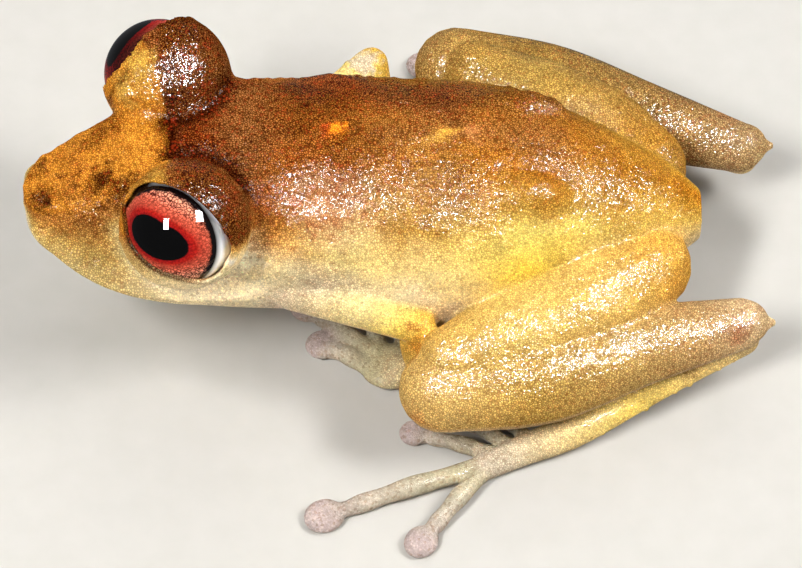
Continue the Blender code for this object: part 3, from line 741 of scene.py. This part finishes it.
# the body's colours, by the angle round its long axis
rows = np.array(torso["stations"])
centre, halfWidth, halfDepth = (np.interp(x, rows[:, 0], rows[:, k]) for k in (1, 2, 3))
angle = np.degrees(np.arctan2(np.abs(y) / halfWidth, (z - centre) / halfDepth))
# brown reaches further down on the right flank, and painted shade darkens that flank, which faces away from
# the lamps
shadow = 0.45 * ramp(y, 0.4, 2.2) * (1 - ramp(angle, 70, 110)) * (1 - ramp(x, 19, 23))
angle = np.maximum(angle - 26 * ramp(y, 0.3, 2.5), 0)
angle += 9 * (cloudy(co, 1.6, 3) + 0.5 * cloudy(co, 0.5, 7))
bands = list(paint.values())
trunkTone = shades(angle, bands[0][1])
for (start, _), (end, stops) in zip(bands, bands[1:]):
    trunkTone += (shades(angle, stops) - trunkTone) * ramp(x, start, end)[:, None]
trunkTone *= 1 - shadow[:, None]

# the head's colours, by height between the lip (0) and the canthus (1)
face = {
    "front": ((-0.9, "#d8cab4"), (-0.25, "#d8c8a4"), (0.0, "#c6b074"), (0.3, "#bd9c54"), (0.65, "#b4803a"),
              (0.95, "#ac7030")),
    # the cream of the frog's cheek, painted lighter below the eye as painted light where it faces down, away
    # from the lamps
    "rear": ((-0.9, "#d8cab4"), (-0.2, "#f0deb8"), (0.15, "#f6e2b4"), (0.45, "#f0d69a"), (0.75, "#c8984e"),
             (1.05, "#8a5824")),
    "golden": ("#bc7c2b", "#ca8628"),
    "crown": "#7a4820",
    "nape": "#7e5026",
    "goldenEnd": (5.42, 5.58),           # x of the border between golden snout and brown crown
    "lidDarkening": (0.46, 0.52, 0.68),
    # painted shade for the furrows behind the lids, also used on the line behind the gold
    "furrow": "#340f02",
    "mouth": "#7a5430",
    # painted shade inside the nostril pits
    "nostril": "#2c140a",
    # the moist rims of the lids, by height from the middle of the eye
    "rim": ((-1.4, "#d2b080"), (-0.7, "#9a6a38"), (-0.1, "#4a2414"), (0.5, "#2c120a")),
}
rows = np.array(head["stations"])
canthusZ, lipZ = (np.interp(hx, rows[:, 0], rows[:, k]) for k in (3, 5))
level = (hz - lipZ) / (canthusZ - lipZ)
blur = cloudy(co, 0.45, 1) + 0.4 * cloudy(co, 0.16, 5)
level = level + 0.10 * blur
# the lids are brown above the eye and tan below it and in front of it
fromEye = np.stack([hx, np.abs(hy), hz], axis=1) - np.array(eye["centre"])
hinge = np.linalg.norm(fromEye, axis=1)      # distance from the middle of the nearer eye
rearward = ramp(hx, eye["centre"][0] - 1.2, eye["centre"][0] + 1.4)
outAndDown = (0.6 * fromEye[:, 1] - 0.8 * fromEye[:, 2]) / eye["radius"]
below = ramp(outAndDown - 0.35 * rearward, -0.45, 0.25) * (1 - ramp(hinge, 2.7, 3.5))
level = level - 0.60 * below
frontSide, rearSide = shades(level, face["front"]), shades(level, face["rear"])
headTone = frontSide + (rearSide - frontSide) * ramp(hx, 2.5, 6.5)[:, None]
# the golden snout ends in a sharp border between the eyes
golden = mixed(np.tile(linear(face["golden"][0]), (len(co), 1)), linear(face["golden"][1]), 0.5 + 0.5 * blur)
behindGold = ramp(hx + 0.05 * hy ** 2 + 0.06 * blur, *face["goldenEnd"])
crownTone = mixed(golden, linear(face["crown"]), behindGold)
crownTone = mixed(crownTone, linear(face["nape"]), ramp(hx, 6.0, 8.5))
crownTone *= 1 - np.outer((1 - ramp(hinge, 2.35, 2.8)) * ramp(hx, 5.3, 5.8), face["lidDarkening"])
onTop = ramp(level, 0.86, 1.00)
headTone += (crownTone - headTone) * onTop[:, None]
tone = headTone + (trunkTone - headTone) * ramp(x, 8.0, 10.2)[:, None]

# the limbs' colours, along each limb
limbTone = {
    "upperArm": ((0, "#d0bc9c"), (0.35, "#dcc684"), (0.6, "#e8ca62"), (1, "#dcb24a")),
    "forearm": ((0, "#d9ac48"), (0.35, "#cba450"), (0.7, "#bfa46a"), (1, "#c4b48c")),
    "thigh": ((0, "#d09d43"), (0.35, "#d2aa58"), (0.75, "#d0b05f"), (1, "#caa454")),
    "shank": ((0, "#c6a35f"), (0.25, "#b28f44"), (0.6, "#b39253"), (0.85, "#b5925e"), (1, "#c8aa7d")),
    "tarsus": ((0, "#d8bb7e"), (0.35, "#e3c462"), (0.6, "#d6be89"), (0.8, "#ccbc9d"), (1, "#c8b7a3")),
    "digit": ((0, "#b5aa85"), (0.5, "#b3a890"), (0.85, "#b0a395"), (1, "#b3a29c")),
    "underneath": "#dccab8",
    "farLegShade": (0.66, 0.62, 0.52),      # painted shade: the right thigh and shank, turned away from the lamps, are darker and browner
    "digitGrain": 0.2,                   # the digits are almost smooth
    "blend": 0.12,                       # width over which one piece's colour turns into the next
}
fromAxis = np.sqrt((y / halfWidth) ** 2 + ((z - centre) / halfDepth) ** 2)
trunkGap = (fromAxis - 1) * np.minimum(halfWidth, halfDepth)
trunkGap = np.where(x < 8.8, np.minimum(trunkGap, -0.2), trunkGap)
weight = np.exp(-np.clip(trunkGap, -0.4, 3) / limbTone["blend"])
total = tone * weight[:, None]
totalGrain = weight.copy()
weights = weight.copy()
for (name, side, *_), (points, radii) in lines.items():
    gap, place = alongLine(co, points)
    radius = np.interp(place, np.linspace(0, 1, len(radii)), radii)
    weight = np.exp(-np.clip(gap - radius, -0.4, 3) / limbTone["blend"])
    downward = ramp(-normal[:, 2], 0.1, 0.8)
    colours = mixed(shades(place, limbTone[name]), linear(limbTone["underneath"]), 0.75 * downward)
    # painted shade on the right thigh and shank
    if side > 0 and name in ("thigh", "shank"):
        colours = colours * np.array(limbTone["farLegShade"])
    total += colours * weight[:, None]
    totalGrain += weight * (limbTone["digitGrain"] if name == "digit" else 1.0)
    weights += weight
tone = total / weights[:, None]
grain = totalGrain / weights

# blotches, spots, and patches of painted light and shade, each with its twin on the other side
ragged = cloudy(co, 0.22, 9)
for pixel, size, colour, strength in marks.values():
    spot = onSkin(tree, pixel)
    for place, share in ((spot, 1.0), (otherSide(spot), 0.6)):
        gap = np.linalg.norm(co - np.array(place), axis=1) * (1 + 0.9 * ragged)
        tone = mixed(tone, linear(colour), share * strength * (1 - ramp(gap, size * 0.35, size * 1.35)))
# painted shade darkens the furrow behind each lid; the line behind the golden snout gets the same dark colour
darkLines = {
    # pixels of the photograph and half-width in millimetres
    "lidFurrow": (relief["lidFurrow"][0], 0.42),
    "behindGold": (((170, 98), (172, 132), (170, 154)), 0.24),
}
for pixels, width in darkLines.values():
    path = [onSkin(tree, pixel) for pixel in pixels]
    for line in (path, [otherSide(place) for place in path]):
        gap, _ = alongLine(co, line)
        tone = mixed(tone, linear(face["furrow"]), rim(gap, 0.92, 0, width))
# dark line of the mouth, moist rims of the lids, and nostrils darkened with painted shade in their pits
mouthGap, _ = alongLine(co, mouth)
tone = mixed(tone, linear(face["mouth"]), rim(mouthGap, 0.6, 0, 0.09))
edges = [[turned(place) for place in lidEdge(side, eye["radius"] + eye["rimOut"])] for side in (-1, 1)]
rimGap = np.minimum(*[alongLine(co, edge + edge[:1])[0] for edge in edges])
rimTone = shades(fromEye[:, 2] - 0.7 * ramp(fromEye[:, 0], 0, 1.8), face["rim"])
tone += (rimTone - tone) * (0.85 * (1 - ramp(rimGap, 0.07, 0.22)))[:, None]
for nose in (nostril, otherSide(nostril)):
    gap = np.linalg.norm(co - np.array(nose), axis=1)
    tone = mixed(tone, linear(face["nostril"]), rim(gap, 0.9, 0, 0.17))

# the granules stand out on the dark skin and fade on the pale
brightness = (tone @ np.array((0.2126, 0.7152, 0.0722))).clip(0, 1)
grain *= np.clip(1.35 - 1.35 * brightness ** 0.45, 0.12, 1)

toneLayer = body.data.attributes.new("tone", "FLOAT_COLOR", "POINT")
toneLayer.data.foreach_set("color", np.column_stack([np.clip(tone, 0, 1), np.ones(len(co))]).ravel())
grainLayer = body.data.attributes.new("grain", "FLOAT", "POINT")
grainLayer.data.foreach_set("value", np.clip(grain, 0, 1))
# wet patches, as pixels of the photograph, radius in millimetres and strength
wetPlaces = {
    "farLid": ((176, 76), 1.10, 1.0), "farLidFoot": ((188, 93), 0.60, 1.0),
    "farCanthus": ((140, 98), 0.80, 0.7), "snoutEdge": ((114, 108), 0.35, 0.8),
    "loreal": ((90, 222), 0.70, 0.6), "lid": ((205, 188), 0.80, 0.5),
    "nape": ((312, 195), 1.30, 0.7), "shoulder": ((335, 215), 1.30, 0.7),
    "flankFront": ((385, 190), 1.30, 0.5), "saddle": ((430, 150), 1.10, 0.4),
    "flank": ((470, 205), 1.70, 0.6), "loin": ((560, 185), 1.70, 0.5),
    "loinRear": ((610, 200), 1.60, 0.6), "rump": ((650, 180), 1.30, 0.5),
    "rumpEdge": ((680, 235), 1.00, 0.6), "shank": ((600, 350), 2.00, 1.0),
    "shankRear": ((690, 325), 1.60, 0.8), "shankMiddle": ((530, 360), 1.80, 1.0),
    "knee": ((450, 360), 1.50, 1.0), "heel": ((745, 315), 0.80, 0.7),
    "tarsus": ((600, 420), 1.50, 0.7), "thigh": ((600, 270), 1.80, 0.6),
    "thighFront": ((500, 320), 1.50, 0.8), "farShank": ((640, 110), 1.20, 0.6),
    "farHeel": ((720, 140), 1.20, 0.7), "foot": ((440, 480), 1.50, 0.4),
}
wet = np.full(len(co), 0.06)         # the rest is only just moist
for pixel, size, strength in wetPlaces.values():
    spot = onSkin(tree, pixel)
    for place in (spot, otherSide(spot)):
        gap = np.linalg.norm(co - np.array(place), axis=1) * (1 + 0.5 * ragged)
        wet = np.maximum(wet, strength * (1 - ramp(gap, size * 0.6, size * 1.3)))
wetLayer = body.data.attributes.new("wet", "FLOAT", "POINT")
wetLayer.data.foreach_set("value", wet)
print("skin painted")


# Moving the finished pieces from millimetres onto the frame

probe = bmesh.new()
addBall(probe, onSide(eye["centre"], -1), (eye["radius"],) * 3, segments=22)
bmesh.ops.transform(probe, matrix=headTurn, verts=probe.verts[:])
probeLow = Vector([min(vert.co[axis] for vert in probe.verts) for axis in range(3)])
probe.free()
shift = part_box("eye_left")[0] / mm - probeLow
shift.z = 0
toFrame = Matrix.Scale(mm, 4) @ Matrix.Translation(shift)
body.data.transform(toFrame)
body.data.shade_smooth()
print("moved by", [round(v, 3) for v in shift])


# Materials

def addNode(tree, kind, inputs=None, **settings):
    node = tree.nodes.new("ShaderNode" + kind)
    for name, value in settings.items():
        setattr(node, name, value)
    for name, value in (inputs or {}).items():
        if isinstance(value, bpy.types.NodeSocket):
            tree.links.new(value, node.inputs[name])
        else:
            node.inputs[name].default_value = value
    return node


def newMaterial(name):
    material = bpy.data.materials.new(name)
    material.use_nodes = True
    return material, material.node_tree, material.node_tree.nodes["Principled BSDF"]


# Living frog skin: glandular granules 0.085 mm across over a darker network, under a film of mucus.
# The eye sees fine amber dots, soft translucent edges and tiny hard glints where the film is wavy.
frogSkin = {
    "granule": 0.085 * mm,
    "mottle": 1.1 * mm,
    "granuleHeight": 0.022 * mm,
    "filmHeight": 0.014 * mm,
    "filmWave": 0.17 * mm,
    "filmWaveHeight": 0.075 * mm,
    "wrinkle": 0.45 * mm,
    "wrinkleHeight": 0.030 * mm,
    "network": "#7e5440",
    "granuleGain": (1.95, 2.0, 2.0),     # how much lighter a granule is than the skin's tone
    "fleck": "#a02c12",
    "fleckShare": 0.36,
    "speck": "#b08a68",
    "speckShare": 0.40,
    "granuleRange": (0.82, 1.22),        # darkest and brightest granule
    "cloudRange": (0.82, 1.18),
    "roughness": (0.50, 0.34),
    "waterIor": 1.36,
    "waterRoughness": 0.11,
}
material, nodes, shader = newMaterial("moistGranularSkin")
place = addNode(nodes, "TexCoord").outputs["Object"]
toneNode = addNode(nodes, "Attribute", attribute_name="tone")
grainNode = addNode(nodes, "Attribute", attribute_name="grain")
cells = addNode(nodes, "TexVoronoi", {"Vector": place, "Scale": 1 / frogSkin["granule"], "Randomness": 0.9})
net = addNode(nodes, "TexVoronoi", {"Vector": place, "Scale": 1 / frogSkin["granule"], "Randomness": 0.9},
              feature="DISTANCE_TO_EDGE")
dome = addNode(nodes, "MapRange", {"Value": net.outputs["Distance"], "From Min": 0.02, "From Max": 0.30},
               interpolation_type="SMOOTHSTEP")
chance = addNode(nodes, "SeparateColor", {"Color": cells.outputs["Color"]})
mottle = addNode(nodes, "TexNoise", {"Vector": place, "Scale": 1 / frogSkin["mottle"], "Detail": 4.0})
# between the granules the ground is darker and redder, on them lighter
between = addNode(nodes, "Mix", {0: grainNode.outputs["Fac"], 6: toneNode.outputs["Color"],
                                 7: (*linear(frogSkin["network"]), 1)}, data_type="RGBA",
                  blend_type="MULTIPLY")
onGranule = addNode(nodes, "Mix", {0: grainNode.outputs["Fac"], 6: toneNode.outputs["Color"],
                                   7: (*frogSkin["granuleGain"], 1)}, data_type="RGBA", blend_type="MULTIPLY")
granular = addNode(nodes, "Mix", {0: dome.outputs["Result"], 6: between.outputs[2], 7: onGranule.outputs[2]},
                   data_type="RGBA")
redShare = addNode(nodes, "MapRange", {"Value": chance.outputs["Red"], "From Min": 0.86, "From Max": 0.88,
                                       "To Min": 0.0, "To Max": frogSkin["fleckShare"]})
redGrain = addNode(nodes, "Math", {0: redShare.outputs["Result"], 1: grainNode.outputs["Fac"]},
                   operation="MULTIPLY")
flecked = addNode(nodes, "Mix", {0: redGrain.outputs["Value"], 6: granular.outputs[2],
                                 7: (*linear(frogSkin["fleck"]), 1)}, data_type="RGBA")
# one granule in eight holds red pigment and one dark, and no two are equally bright
darkShare = addNode(nodes, "MapRange", {"Value": chance.outputs["Blue"], "From Min": 0.86, "From Max": 0.90,
                                        "To Min": 0.0, "To Max": frogSkin["speckShare"]})
specked = addNode(nodes, "Mix", {0: darkShare.outputs["Result"], 6: flecked.outputs[2],
                                 7: (*linear(frogSkin["speck"]), 1)}, data_type="RGBA", blend_type="MULTIPLY")
bright = addNode(nodes, "MapRange", {"Value": chance.outputs["Green"], "To Min": frogSkin["granuleRange"][0],
                                     "To Max": frogSkin["granuleRange"][1]})
cloud = addNode(nodes, "MapRange", {"Value": mottle.outputs["Fac"], "From Min": 0.30, "From Max": 0.70,
                                    "To Min": frogSkin["cloudRange"][0], "To Max": frogSkin["cloudRange"][1]})
varied = addNode(nodes, "Math", {0: cloud.outputs["Result"], 1: bright.outputs["Result"]},
                 operation="MULTIPLY")
finished = addNode(nodes, "Mix", {0: 1.0, 6: specked.outputs[2], 7: varied.outputs["Value"]},
                   data_type="RGBA", blend_type="MULTIPLY")
nodes.links.new(finished.outputs[2], shader.inputs["Base Color"])
# height: granules of uneven size, soft folds between them, and fine wrinkles
uneven = addNode(nodes, "Math", {0: chance.outputs["Green"], 1: 0.6, 2: 0.4}, operation="MULTIPLY_ADD")
height = addNode(nodes, "Math", {0: dome.outputs["Result"], 1: uneven.outputs["Value"]}, operation="MULTIPLY")
granuleBump = addNode(nodes, "Bump", {"Strength": 1.0, "Distance": frogSkin["granuleHeight"],
                                      "Height": height.outputs["Value"]})
wrinkle = addNode(nodes, "TexNoise", {"Vector": place, "Scale": 1 / frogSkin["wrinkle"], "Detail": 5.0})
wrinkleBump = addNode(nodes, "Bump", {"Strength": 0.7, "Distance": frogSkin["wrinkleHeight"],
                                      "Height": wrinkle.outputs["Fac"],
                                      "Normal": granuleBump.outputs["Normal"]})
nodes.links.new(wrinkleBump.outputs["Normal"], shader.inputs["Normal"])
# the film lies level between the granules and swells over each
swell = addNode(nodes, "MapRange", {"Value": net.outputs["Distance"], "From Min": 0.04, "From Max": 0.46},
                interpolation_type="SMOOTHSTEP")
film = addNode(nodes, "Math", {0: swell.outputs["Result"], 1: uneven.outputs["Value"]}, operation="MULTIPLY")
filmBump = addNode(nodes, "Bump", {"Strength": 1.0, "Distance": frogSkin["filmHeight"],
                                   "Height": film.outputs["Value"]})
wave = addNode(nodes, "TexNoise", {"Vector": place, "Scale": 1 / frogSkin["filmWave"], "Detail": 1.0})
waveBump = addNode(nodes, "Bump", {"Strength": 1.0, "Distance": frogSkin["filmWaveHeight"],
                                   "Height": wave.outputs["Fac"], "Normal": filmBump.outputs["Normal"]})
nodes.links.new(waveBump.outputs["Normal"], shader.inputs["Coat Normal"])
wetness = addNode(nodes, "MapRange", {"Value": mottle.outputs["Fac"], "From Min": 0.35, "From Max": 0.65,
                                      "To Min": frogSkin["roughness"][0], "To Max": frogSkin["roughness"][1]})
nodes.links.new(wetness.outputs["Result"], shader.inputs["Roughness"])
shader.inputs["IOR"].default_value = 1.40            # wet skin
shader.inputs["Specular IOR Level"].default_value = 0.0          # all the gloss is the film's
# the film of mucus and water stands on some parts only
wetNode = addNode(nodes, "Attribute", attribute_name="wet")
nodes.links.new(wetNode.outputs["Fac"], shader.inputs["Coat Weight"])
shader.inputs["Coat IOR"].default_value = frogSkin["waterIor"]
shader.inputs["Coat Roughness"].default_value = frogSkin["waterRoughness"]
shader.inputs["Subsurface Weight"].default_value = 0.12
shader.inputs["Subsurface Radius"].default_value = (0.9, 0.45, 0.25)
shader.inputs["Subsurface Scale"].default_value = 0.4 * mm
body.data.materials.clear()
body.data.materials.append(material)
print("skin material made")


# Living frog eye: a wet globe under a clear cornea, with a fine net of dark cracks over the iris.
# The eye sees a glassy ball with hard lamp highlights, a black pupil and a matt red iris behind them.

iris = {
    "rim": 0.875,                    # radius of the iris on a globe of radius 1
    "ring": 0.938,                   # outer edge of the black ring round it
    "pupilCentre": (0.075, 0.19),
    "pupilSize": (0.565, 0.325),
    "pupilTilt": math.radians(-20),
    "crackle": 0.115 * mm,           # size of the fields between the dark cracks
    "deep": "#800b0b",               # beside the pupil
    "red": "#9a1a12",
    "salmon": "#d86448",
    "warm": "#e69c7c",               # outer edge
    "crack": "#3c0a08",
    "sclera": "#fcfdfd",
    "black": "#0d0707",
    "pupil": "#030303",
    "shadeFrom": {-1: 0.85, 1: 0.15},        # height on the globe where the shade of the upper lid starts
}


def eyeMaterial(side):
    material, nodes, shader = newMaterial("wetEyeLeft" if side < 0 else "wetEyeRight")
    middle = toFrame @ turned(onSide(eye["centre"], side))
    gaze = (headTurn.to_3x3() @ eye["gazeAxis"][side]).normalized()
    rear = Vector((1, 0, 0)) - gaze * gaze.x
    rear.normalize()
    up = gaze.cross(rear) * -side            # the picture is mirrored on the right eye, so that up stays up
    turn = Matrix((rear * -side, up, gaze)).transposed()
    place = addNode(nodes, "TexCoord").outputs["Object"]
    local = addNode(nodes, "Mapping", {"Vector": place, "Location": middle, "Rotation": turn.to_euler(),
                                       "Scale": (eye["radius"] * mm,) * 3}, vector_type="TEXTURE")
    axes = addNode(nodes, "SeparateXYZ", {"Vector": local.outputs["Vector"]})
    toRear = addNode(nodes, "Math", {0: axes.outputs["X"], 1: float(-side)},
                     operation="MULTIPLY").outputs["Value"]
    flat = addNode(nodes, "CombineXYZ", {"X": toRear, "Y": axes.outputs["Y"]}).outputs["Vector"]
    ripple = addNode(nodes, "TexNoise", {"Vector": local.outputs["Vector"], "Scale": 9.0, "Detail": 4.0})
    rippled = addNode(nodes, "Math", {0: ripple.outputs["Fac"], 1: 0.06, 2: -0.03}, operation="MULTIPLY_ADD")
    radial = addNode(nodes, "VectorMath", {0: flat}, operation="LENGTH").outputs["Value"]
    # behind the middle of the globe the radius counts on outwards
    behind = addNode(nodes, "Math", {0: axes.outputs["Z"], 1: 0.0}, operation="LESS_THAN").outputs["Value"]
    past = addNode(nodes, "Math", {0: 2.0, 1: radial}, operation="SUBTRACT").outputs["Value"]
    reach = addNode(nodes, "Mix", {0: behind, 2: radial, 3: past}, data_type="FLOAT").outputs[0]
    # the pupil: an oval lying on its side, with a flattened upper edge
    oval = addNode(nodes, "Mapping", {"Vector": flat, "Location": (*iris["pupilCentre"], 0),
                                      "Rotation": (0, 0, iris["pupilTilt"]),
                                      "Scale": (*iris["pupilSize"], 1)},
                   vector_type="TEXTURE").outputs["Vector"]
    ovalAxes = addNode(nodes, "SeparateXYZ", {"Vector": oval})
    ovalReach = addNode(nodes, "VectorMath", {0: oval}, operation="LENGTH").outputs["Value"]
    lidded = addNode(nodes, "Math", {0: ovalAxes.outputs["Y"], 1: 0.75, 2: 0.30}, operation="MULTIPLY_ADD")
    field = addNode(nodes, "Math", {0: ovalReach, 1: lidded.outputs["Value"], 2: 0.12},
                    operation="SMOOTH_MAX")
    fieldEdge = addNode(nodes, "Math", {0: field.outputs["Value"], 1: rippled.outputs["Value"]},
                        operation="ADD").outputs["Value"]
    # iris: smooth and deep red beside the pupil, salmon further out, crossed by a net of dark cracks
    irisRamp = addNode(nodes, "ValToRGB", {"Fac": addNode(nodes, "MapRange", {
        "Value": fieldEdge, "From Min": 1.0, "From Max": 2.0}).outputs["Result"]})
    stops = irisRamp.color_ramp
    stops.elements[0].color = (*linear(iris["deep"]), 1)
    stops.elements[1].color = (*linear(iris["warm"]), 1)
    stops.elements.new(0.17).color = (*linear(iris["red"]), 1)
    stops.elements.new(0.55).color = (*linear(iris["salmon"]), 1)
    warp = addNode(nodes, "Mix", {0: 0.10, 4: local.outputs["Vector"], 5: ripple.outputs["Color"]},
                   data_type="VECTOR")
    cracks = addNode(nodes, "TexVoronoi", {"Vector": warp.outputs[1],
                                           "Scale": eye["radius"] * mm / iris["crackle"]},
                     feature="DISTANCE_TO_EDGE")
    crackLine = addNode(nodes, "MapRange", {"Value": cracks.outputs["Distance"], "From Min": 0.03,
                                            "From Max": 0.20, "To Min": 1.0, "To Max": 0.0})
    crackShare = addNode(nodes, "MapRange", {"Value": fieldEdge, "From Min": 1.08, "From Max": 1.7,
                                             "To Min": 0.15, "To Max": 1.0})
    crackMask = addNode(nodes, "Math", {0: crackLine.outputs["Result"], 1: crackShare.outputs["Result"]},
                        operation="MULTIPLY")
    # pale and dark flecks scattered over the fields
    fleck = addNode(nodes, "TexNoise", {"Vector": local.outputs["Vector"], "Scale": 26.0, "Detail": 3.0})
    fleckTone = addNode(nodes, "MapRange", {"Value": fleck.outputs["Fac"], "From Min": 0.35, "From Max": 0.68,
                                            "To Min": 0.62, "To Max": 1.45})
    flecked = addNode(nodes, "Mix", {0: 1.0, 6: irisRamp.outputs["Color"], 7: fleckTone.outputs["Result"]},
                      data_type="RGBA", blend_type="MULTIPLY")
    irisColour = addNode(nodes, "Mix", {0: crackMask.outputs["Value"], 6: flecked.outputs[2],
                                        7: (*linear(iris["crack"]), 1)}, data_type="RGBA")
    ringEdge = addNode(nodes, "Math", {0: reach, 1: rippled.outputs["Value"]},
                       operation="ADD").outputs["Value"]
    ring = addNode(nodes, "MapRange", {"Value": ringEdge, "From Min": iris["rim"] - 0.012,
                                       "From Max": iris["rim"] + 0.012})
    withRing = addNode(nodes, "Mix", {0: ring.outputs["Result"], 6: irisColour.outputs[2],
                                      7: (*linear(iris["black"]), 1)}, data_type="RGBA")
    white = addNode(nodes, "MapRange", {"Value": reach, "From Min": iris["ring"] - 0.015,
                                        "From Max": iris["ring"] + 0.03})
    toBack = addNode(nodes, "MapRange", {"Value": toRear, "From Min": -0.45, "From Max": -0.15})
    whiteMask = addNode(nodes, "Math", {0: white.outputs["Result"], 1: toBack.outputs["Result"]},
                        operation="MULTIPLY")
    withWhite = addNode(nodes, "Mix", {0: whiteMask.outputs["Value"], 6: withRing.outputs[2],
                                       7: (*linear(iris["sclera"]), 1)}, data_type="RGBA")
    pupil = addNode(nodes, "MapRange", {"Value": fieldEdge, "From Min": 0.985, "From Max": 1.015,
                                        "To Min": 1.0, "To Max": 0.0})
    front = addNode(nodes, "Math", {0: axes.outputs["Z"], 1: 0.0}, operation="GREATER_THAN")
    pupilMask = addNode(nodes, "Math", {0: pupil.outputs["Result"], 1: front.outputs["Value"]},
                        operation="MULTIPLY")
    # painted shade: both eyes are darkened towards their tops, under the upper lids; on the rolled right eye
    # it starts lower and turns the iris dark red there
    under = addNode(nodes, "MapRange", {"Value": axes.outputs["Y"], "From Min": iris["shadeFrom"][side],
                                        "From Max": iris["shadeFrom"][side] + 0.45, "To Min": 1.0,
                                        "To Max": 0.10})
    shaded = addNode(nodes, "Mix", {0: 1.0, 6: withWhite.outputs[2], 7: under.outputs["Result"]},
                     data_type="RGBA", blend_type="MULTIPLY")
    colour = addNode(nodes, "Mix", {0: pupilMask.outputs["Value"], 6: shaded.outputs[2],
                                    7: (*linear(iris["pupil"]), 1)}, data_type="RGBA")
    nodes.links.new(colour.outputs[2], shader.inputs["Base Color"])
    irisBump = addNode(nodes, "Bump", {"Strength": 0.5, "Distance": 0.012 * mm,
                                       "Height": cracks.outputs["Distance"]})
    nodes.links.new(irisBump.outputs["Normal"], shader.inputs["Normal"])
    # the white of the eye glows a little, as wet translucent tissue does
    nodes.links.new(whiteMask.outputs["Value"], shader.inputs["Subsurface Weight"])
    shader.inputs["Subsurface Radius"].default_value = (1.0, 0.9, 0.8)
    shader.inputs["Subsurface Scale"].default_value = 0.35 * mm
    shader.inputs["Roughness"].default_value = 0.5
    shader.inputs["Specular IOR Level"].default_value = 0.0      # the iris lies behind the cornea
    shader.inputs["Coat Weight"].default_value = 1.0     # tear film over the smooth cornea
    shader.inputs["Coat IOR"].default_value = 1.376
    shader.inputs["Coat Roughness"].default_value = 0.015
    return material


for side, name, node in ((-1, "eyeLeft", "eye_left"), (1, "eyeRight", "eye_right")):
    bm = bmesh.new()
    bmesh.ops.create_uvsphere(bm, u_segments=96, v_segments=64, radius=eye["radius"])
    gaze = eye["gazeAxis"][side]
    bmesh.ops.rotate(bm, matrix=gaze.to_track_quat("Z", "Y").to_matrix(), verts=bm.verts[:])
    for vert in bm.verts:                    # the cornea bulges over the iris
        swell = max(0.0, vert.co.normalized().dot(gaze) - 0.50) / 0.50
        vert.co *= 1 + 0.015 * swell * swell * (3 - 2 * swell)
    bmesh.ops.translate(bm, vec=Vector(onSide(eye["centre"], side)), verts=bm.verts[:])
    bmesh.ops.transform(bm, matrix=toFrame @ headTurn, verts=bm.verts[:])
    piece = objectFrom(bm, name)
    piece.data.shade_smooth()
    piece.data.materials.append(eyeMaterial(side))
    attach(piece, "root")
    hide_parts(node)
print("eyes made")

flesh = [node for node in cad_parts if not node.startswith("eye_")]
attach(body, "root")
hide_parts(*flesh)


# Floor, lights and camera

bm = bmesh.new()
bmesh.ops.create_grid(bm, x_segments=4, y_segments=4, size=1.2)
floor = objectFrom(bm, "floor")
# Uncoated paper: a matt pale sheet with a faint cloudiness of its fibres
floorMaterial, floorNodes, floorShader = newMaterial("palePaper")
floorPlace = addNode(floorNodes, "TexCoord").outputs["Object"]
fibre = addNode(floorNodes, "TexNoise", {"Vector": floorPlace, "Scale": 900.0, "Detail": 4.0})
shade = addNode(floorNodes, "Mix", {0: fibre.outputs["Fac"], 6: (*linear("#b2afa8"), 1),
                                    7: (*linear("#bab7b1"), 1)}, data_type="RGBA")
floorNodes.links.new(shade.outputs[2], floorShader.inputs["Base Color"])
floorShader.inputs["Roughness"].default_value = 0.7
floorShader.inputs["Specular IOR Level"].default_value = 0.0
floor.data.materials.append(floorMaterial)
floor.visible_glossy = False         # a pale floor mirrored in the wet eye would grey the pupil

aim = toFrame @ photo["target"]
studio = {
    # direction from the frog: right, up and towards the camera; distance, size and power
    "keyLeft": ((-0.41, 0.14, 0.90), 0.30, (0.048, 0.110), 0.98),
    "keyRight": ((0.63, 0.37, 0.69), 0.30, (0.065, 0.110), 0.80),
    "overhead": ((0.0, 0.9, 0.35), 0.45, (0.30, 0.30), 0.65),
    "glintLeft": ((-0.41, 0.14, 0.90), 0.29, (0.046, 0.106), 6.5),
    "glintRight": ((0.63, 0.37, 0.69), 0.29, (0.063, 0.106), 8.5),
}
for name, (way, distance, size, power) in studio.items():
    light = bpy.data.lights.new(name, "AREA")
    light.shape = "RECTANGLE"
    light.size, light.size_y = size
    light.energy = power
    lamp = bpy.data.objects.new(name, light)
    # the glint lamps stand in the key lamps' places and only make the highlights, as hard as a flash does
    lamp.visible_diffuse = not name.startswith("glint")
    lamp.visible_glossy = name.startswith("glint")
    bpy.context.scene.collection.objects.link(lamp)
    direction = (Vector((1, 0, 0)) * way[0] + photo["up"] * way[1] + photo["back"] * way[2]).normalized()
    across = photo["up"].cross(direction).normalized()
    lamp.location = aim + direction * distance
    lamp.rotation_euler = Matrix((across, direction.cross(across), direction)).transposed().to_euler()
world = bpy.data.worlds.new("studio")
bpy.context.scene.world = world
world.use_nodes = True
world.node_tree.nodes["Background"].inputs["Color"].default_value = (*linear("#f7f9ff"), 1)
world.node_tree.nodes["Background"].inputs["Strength"].default_value = 0.15

cameraData = bpy.data.cameras.new("camera")
camera = bpy.data.objects.new("camera", cameraData)
bpy.context.scene.collection.objects.link(camera)
cameraData.sensor_width = 36
cameraData.lens = 36 * photo["distance"] * photo["pixelsPerMm"] / photo["width"]
cameraData.clip_start = 0.001
camera.location = toFrame @ photo["eye"]
camera.rotation_euler = (math.pi / 2 - photo["elevation"], 0, 0)
bpy.context.scene.camera = camera
bpy.context.scene.view_settings.view_transform = "Standard"
print("floor, lights and camera set")
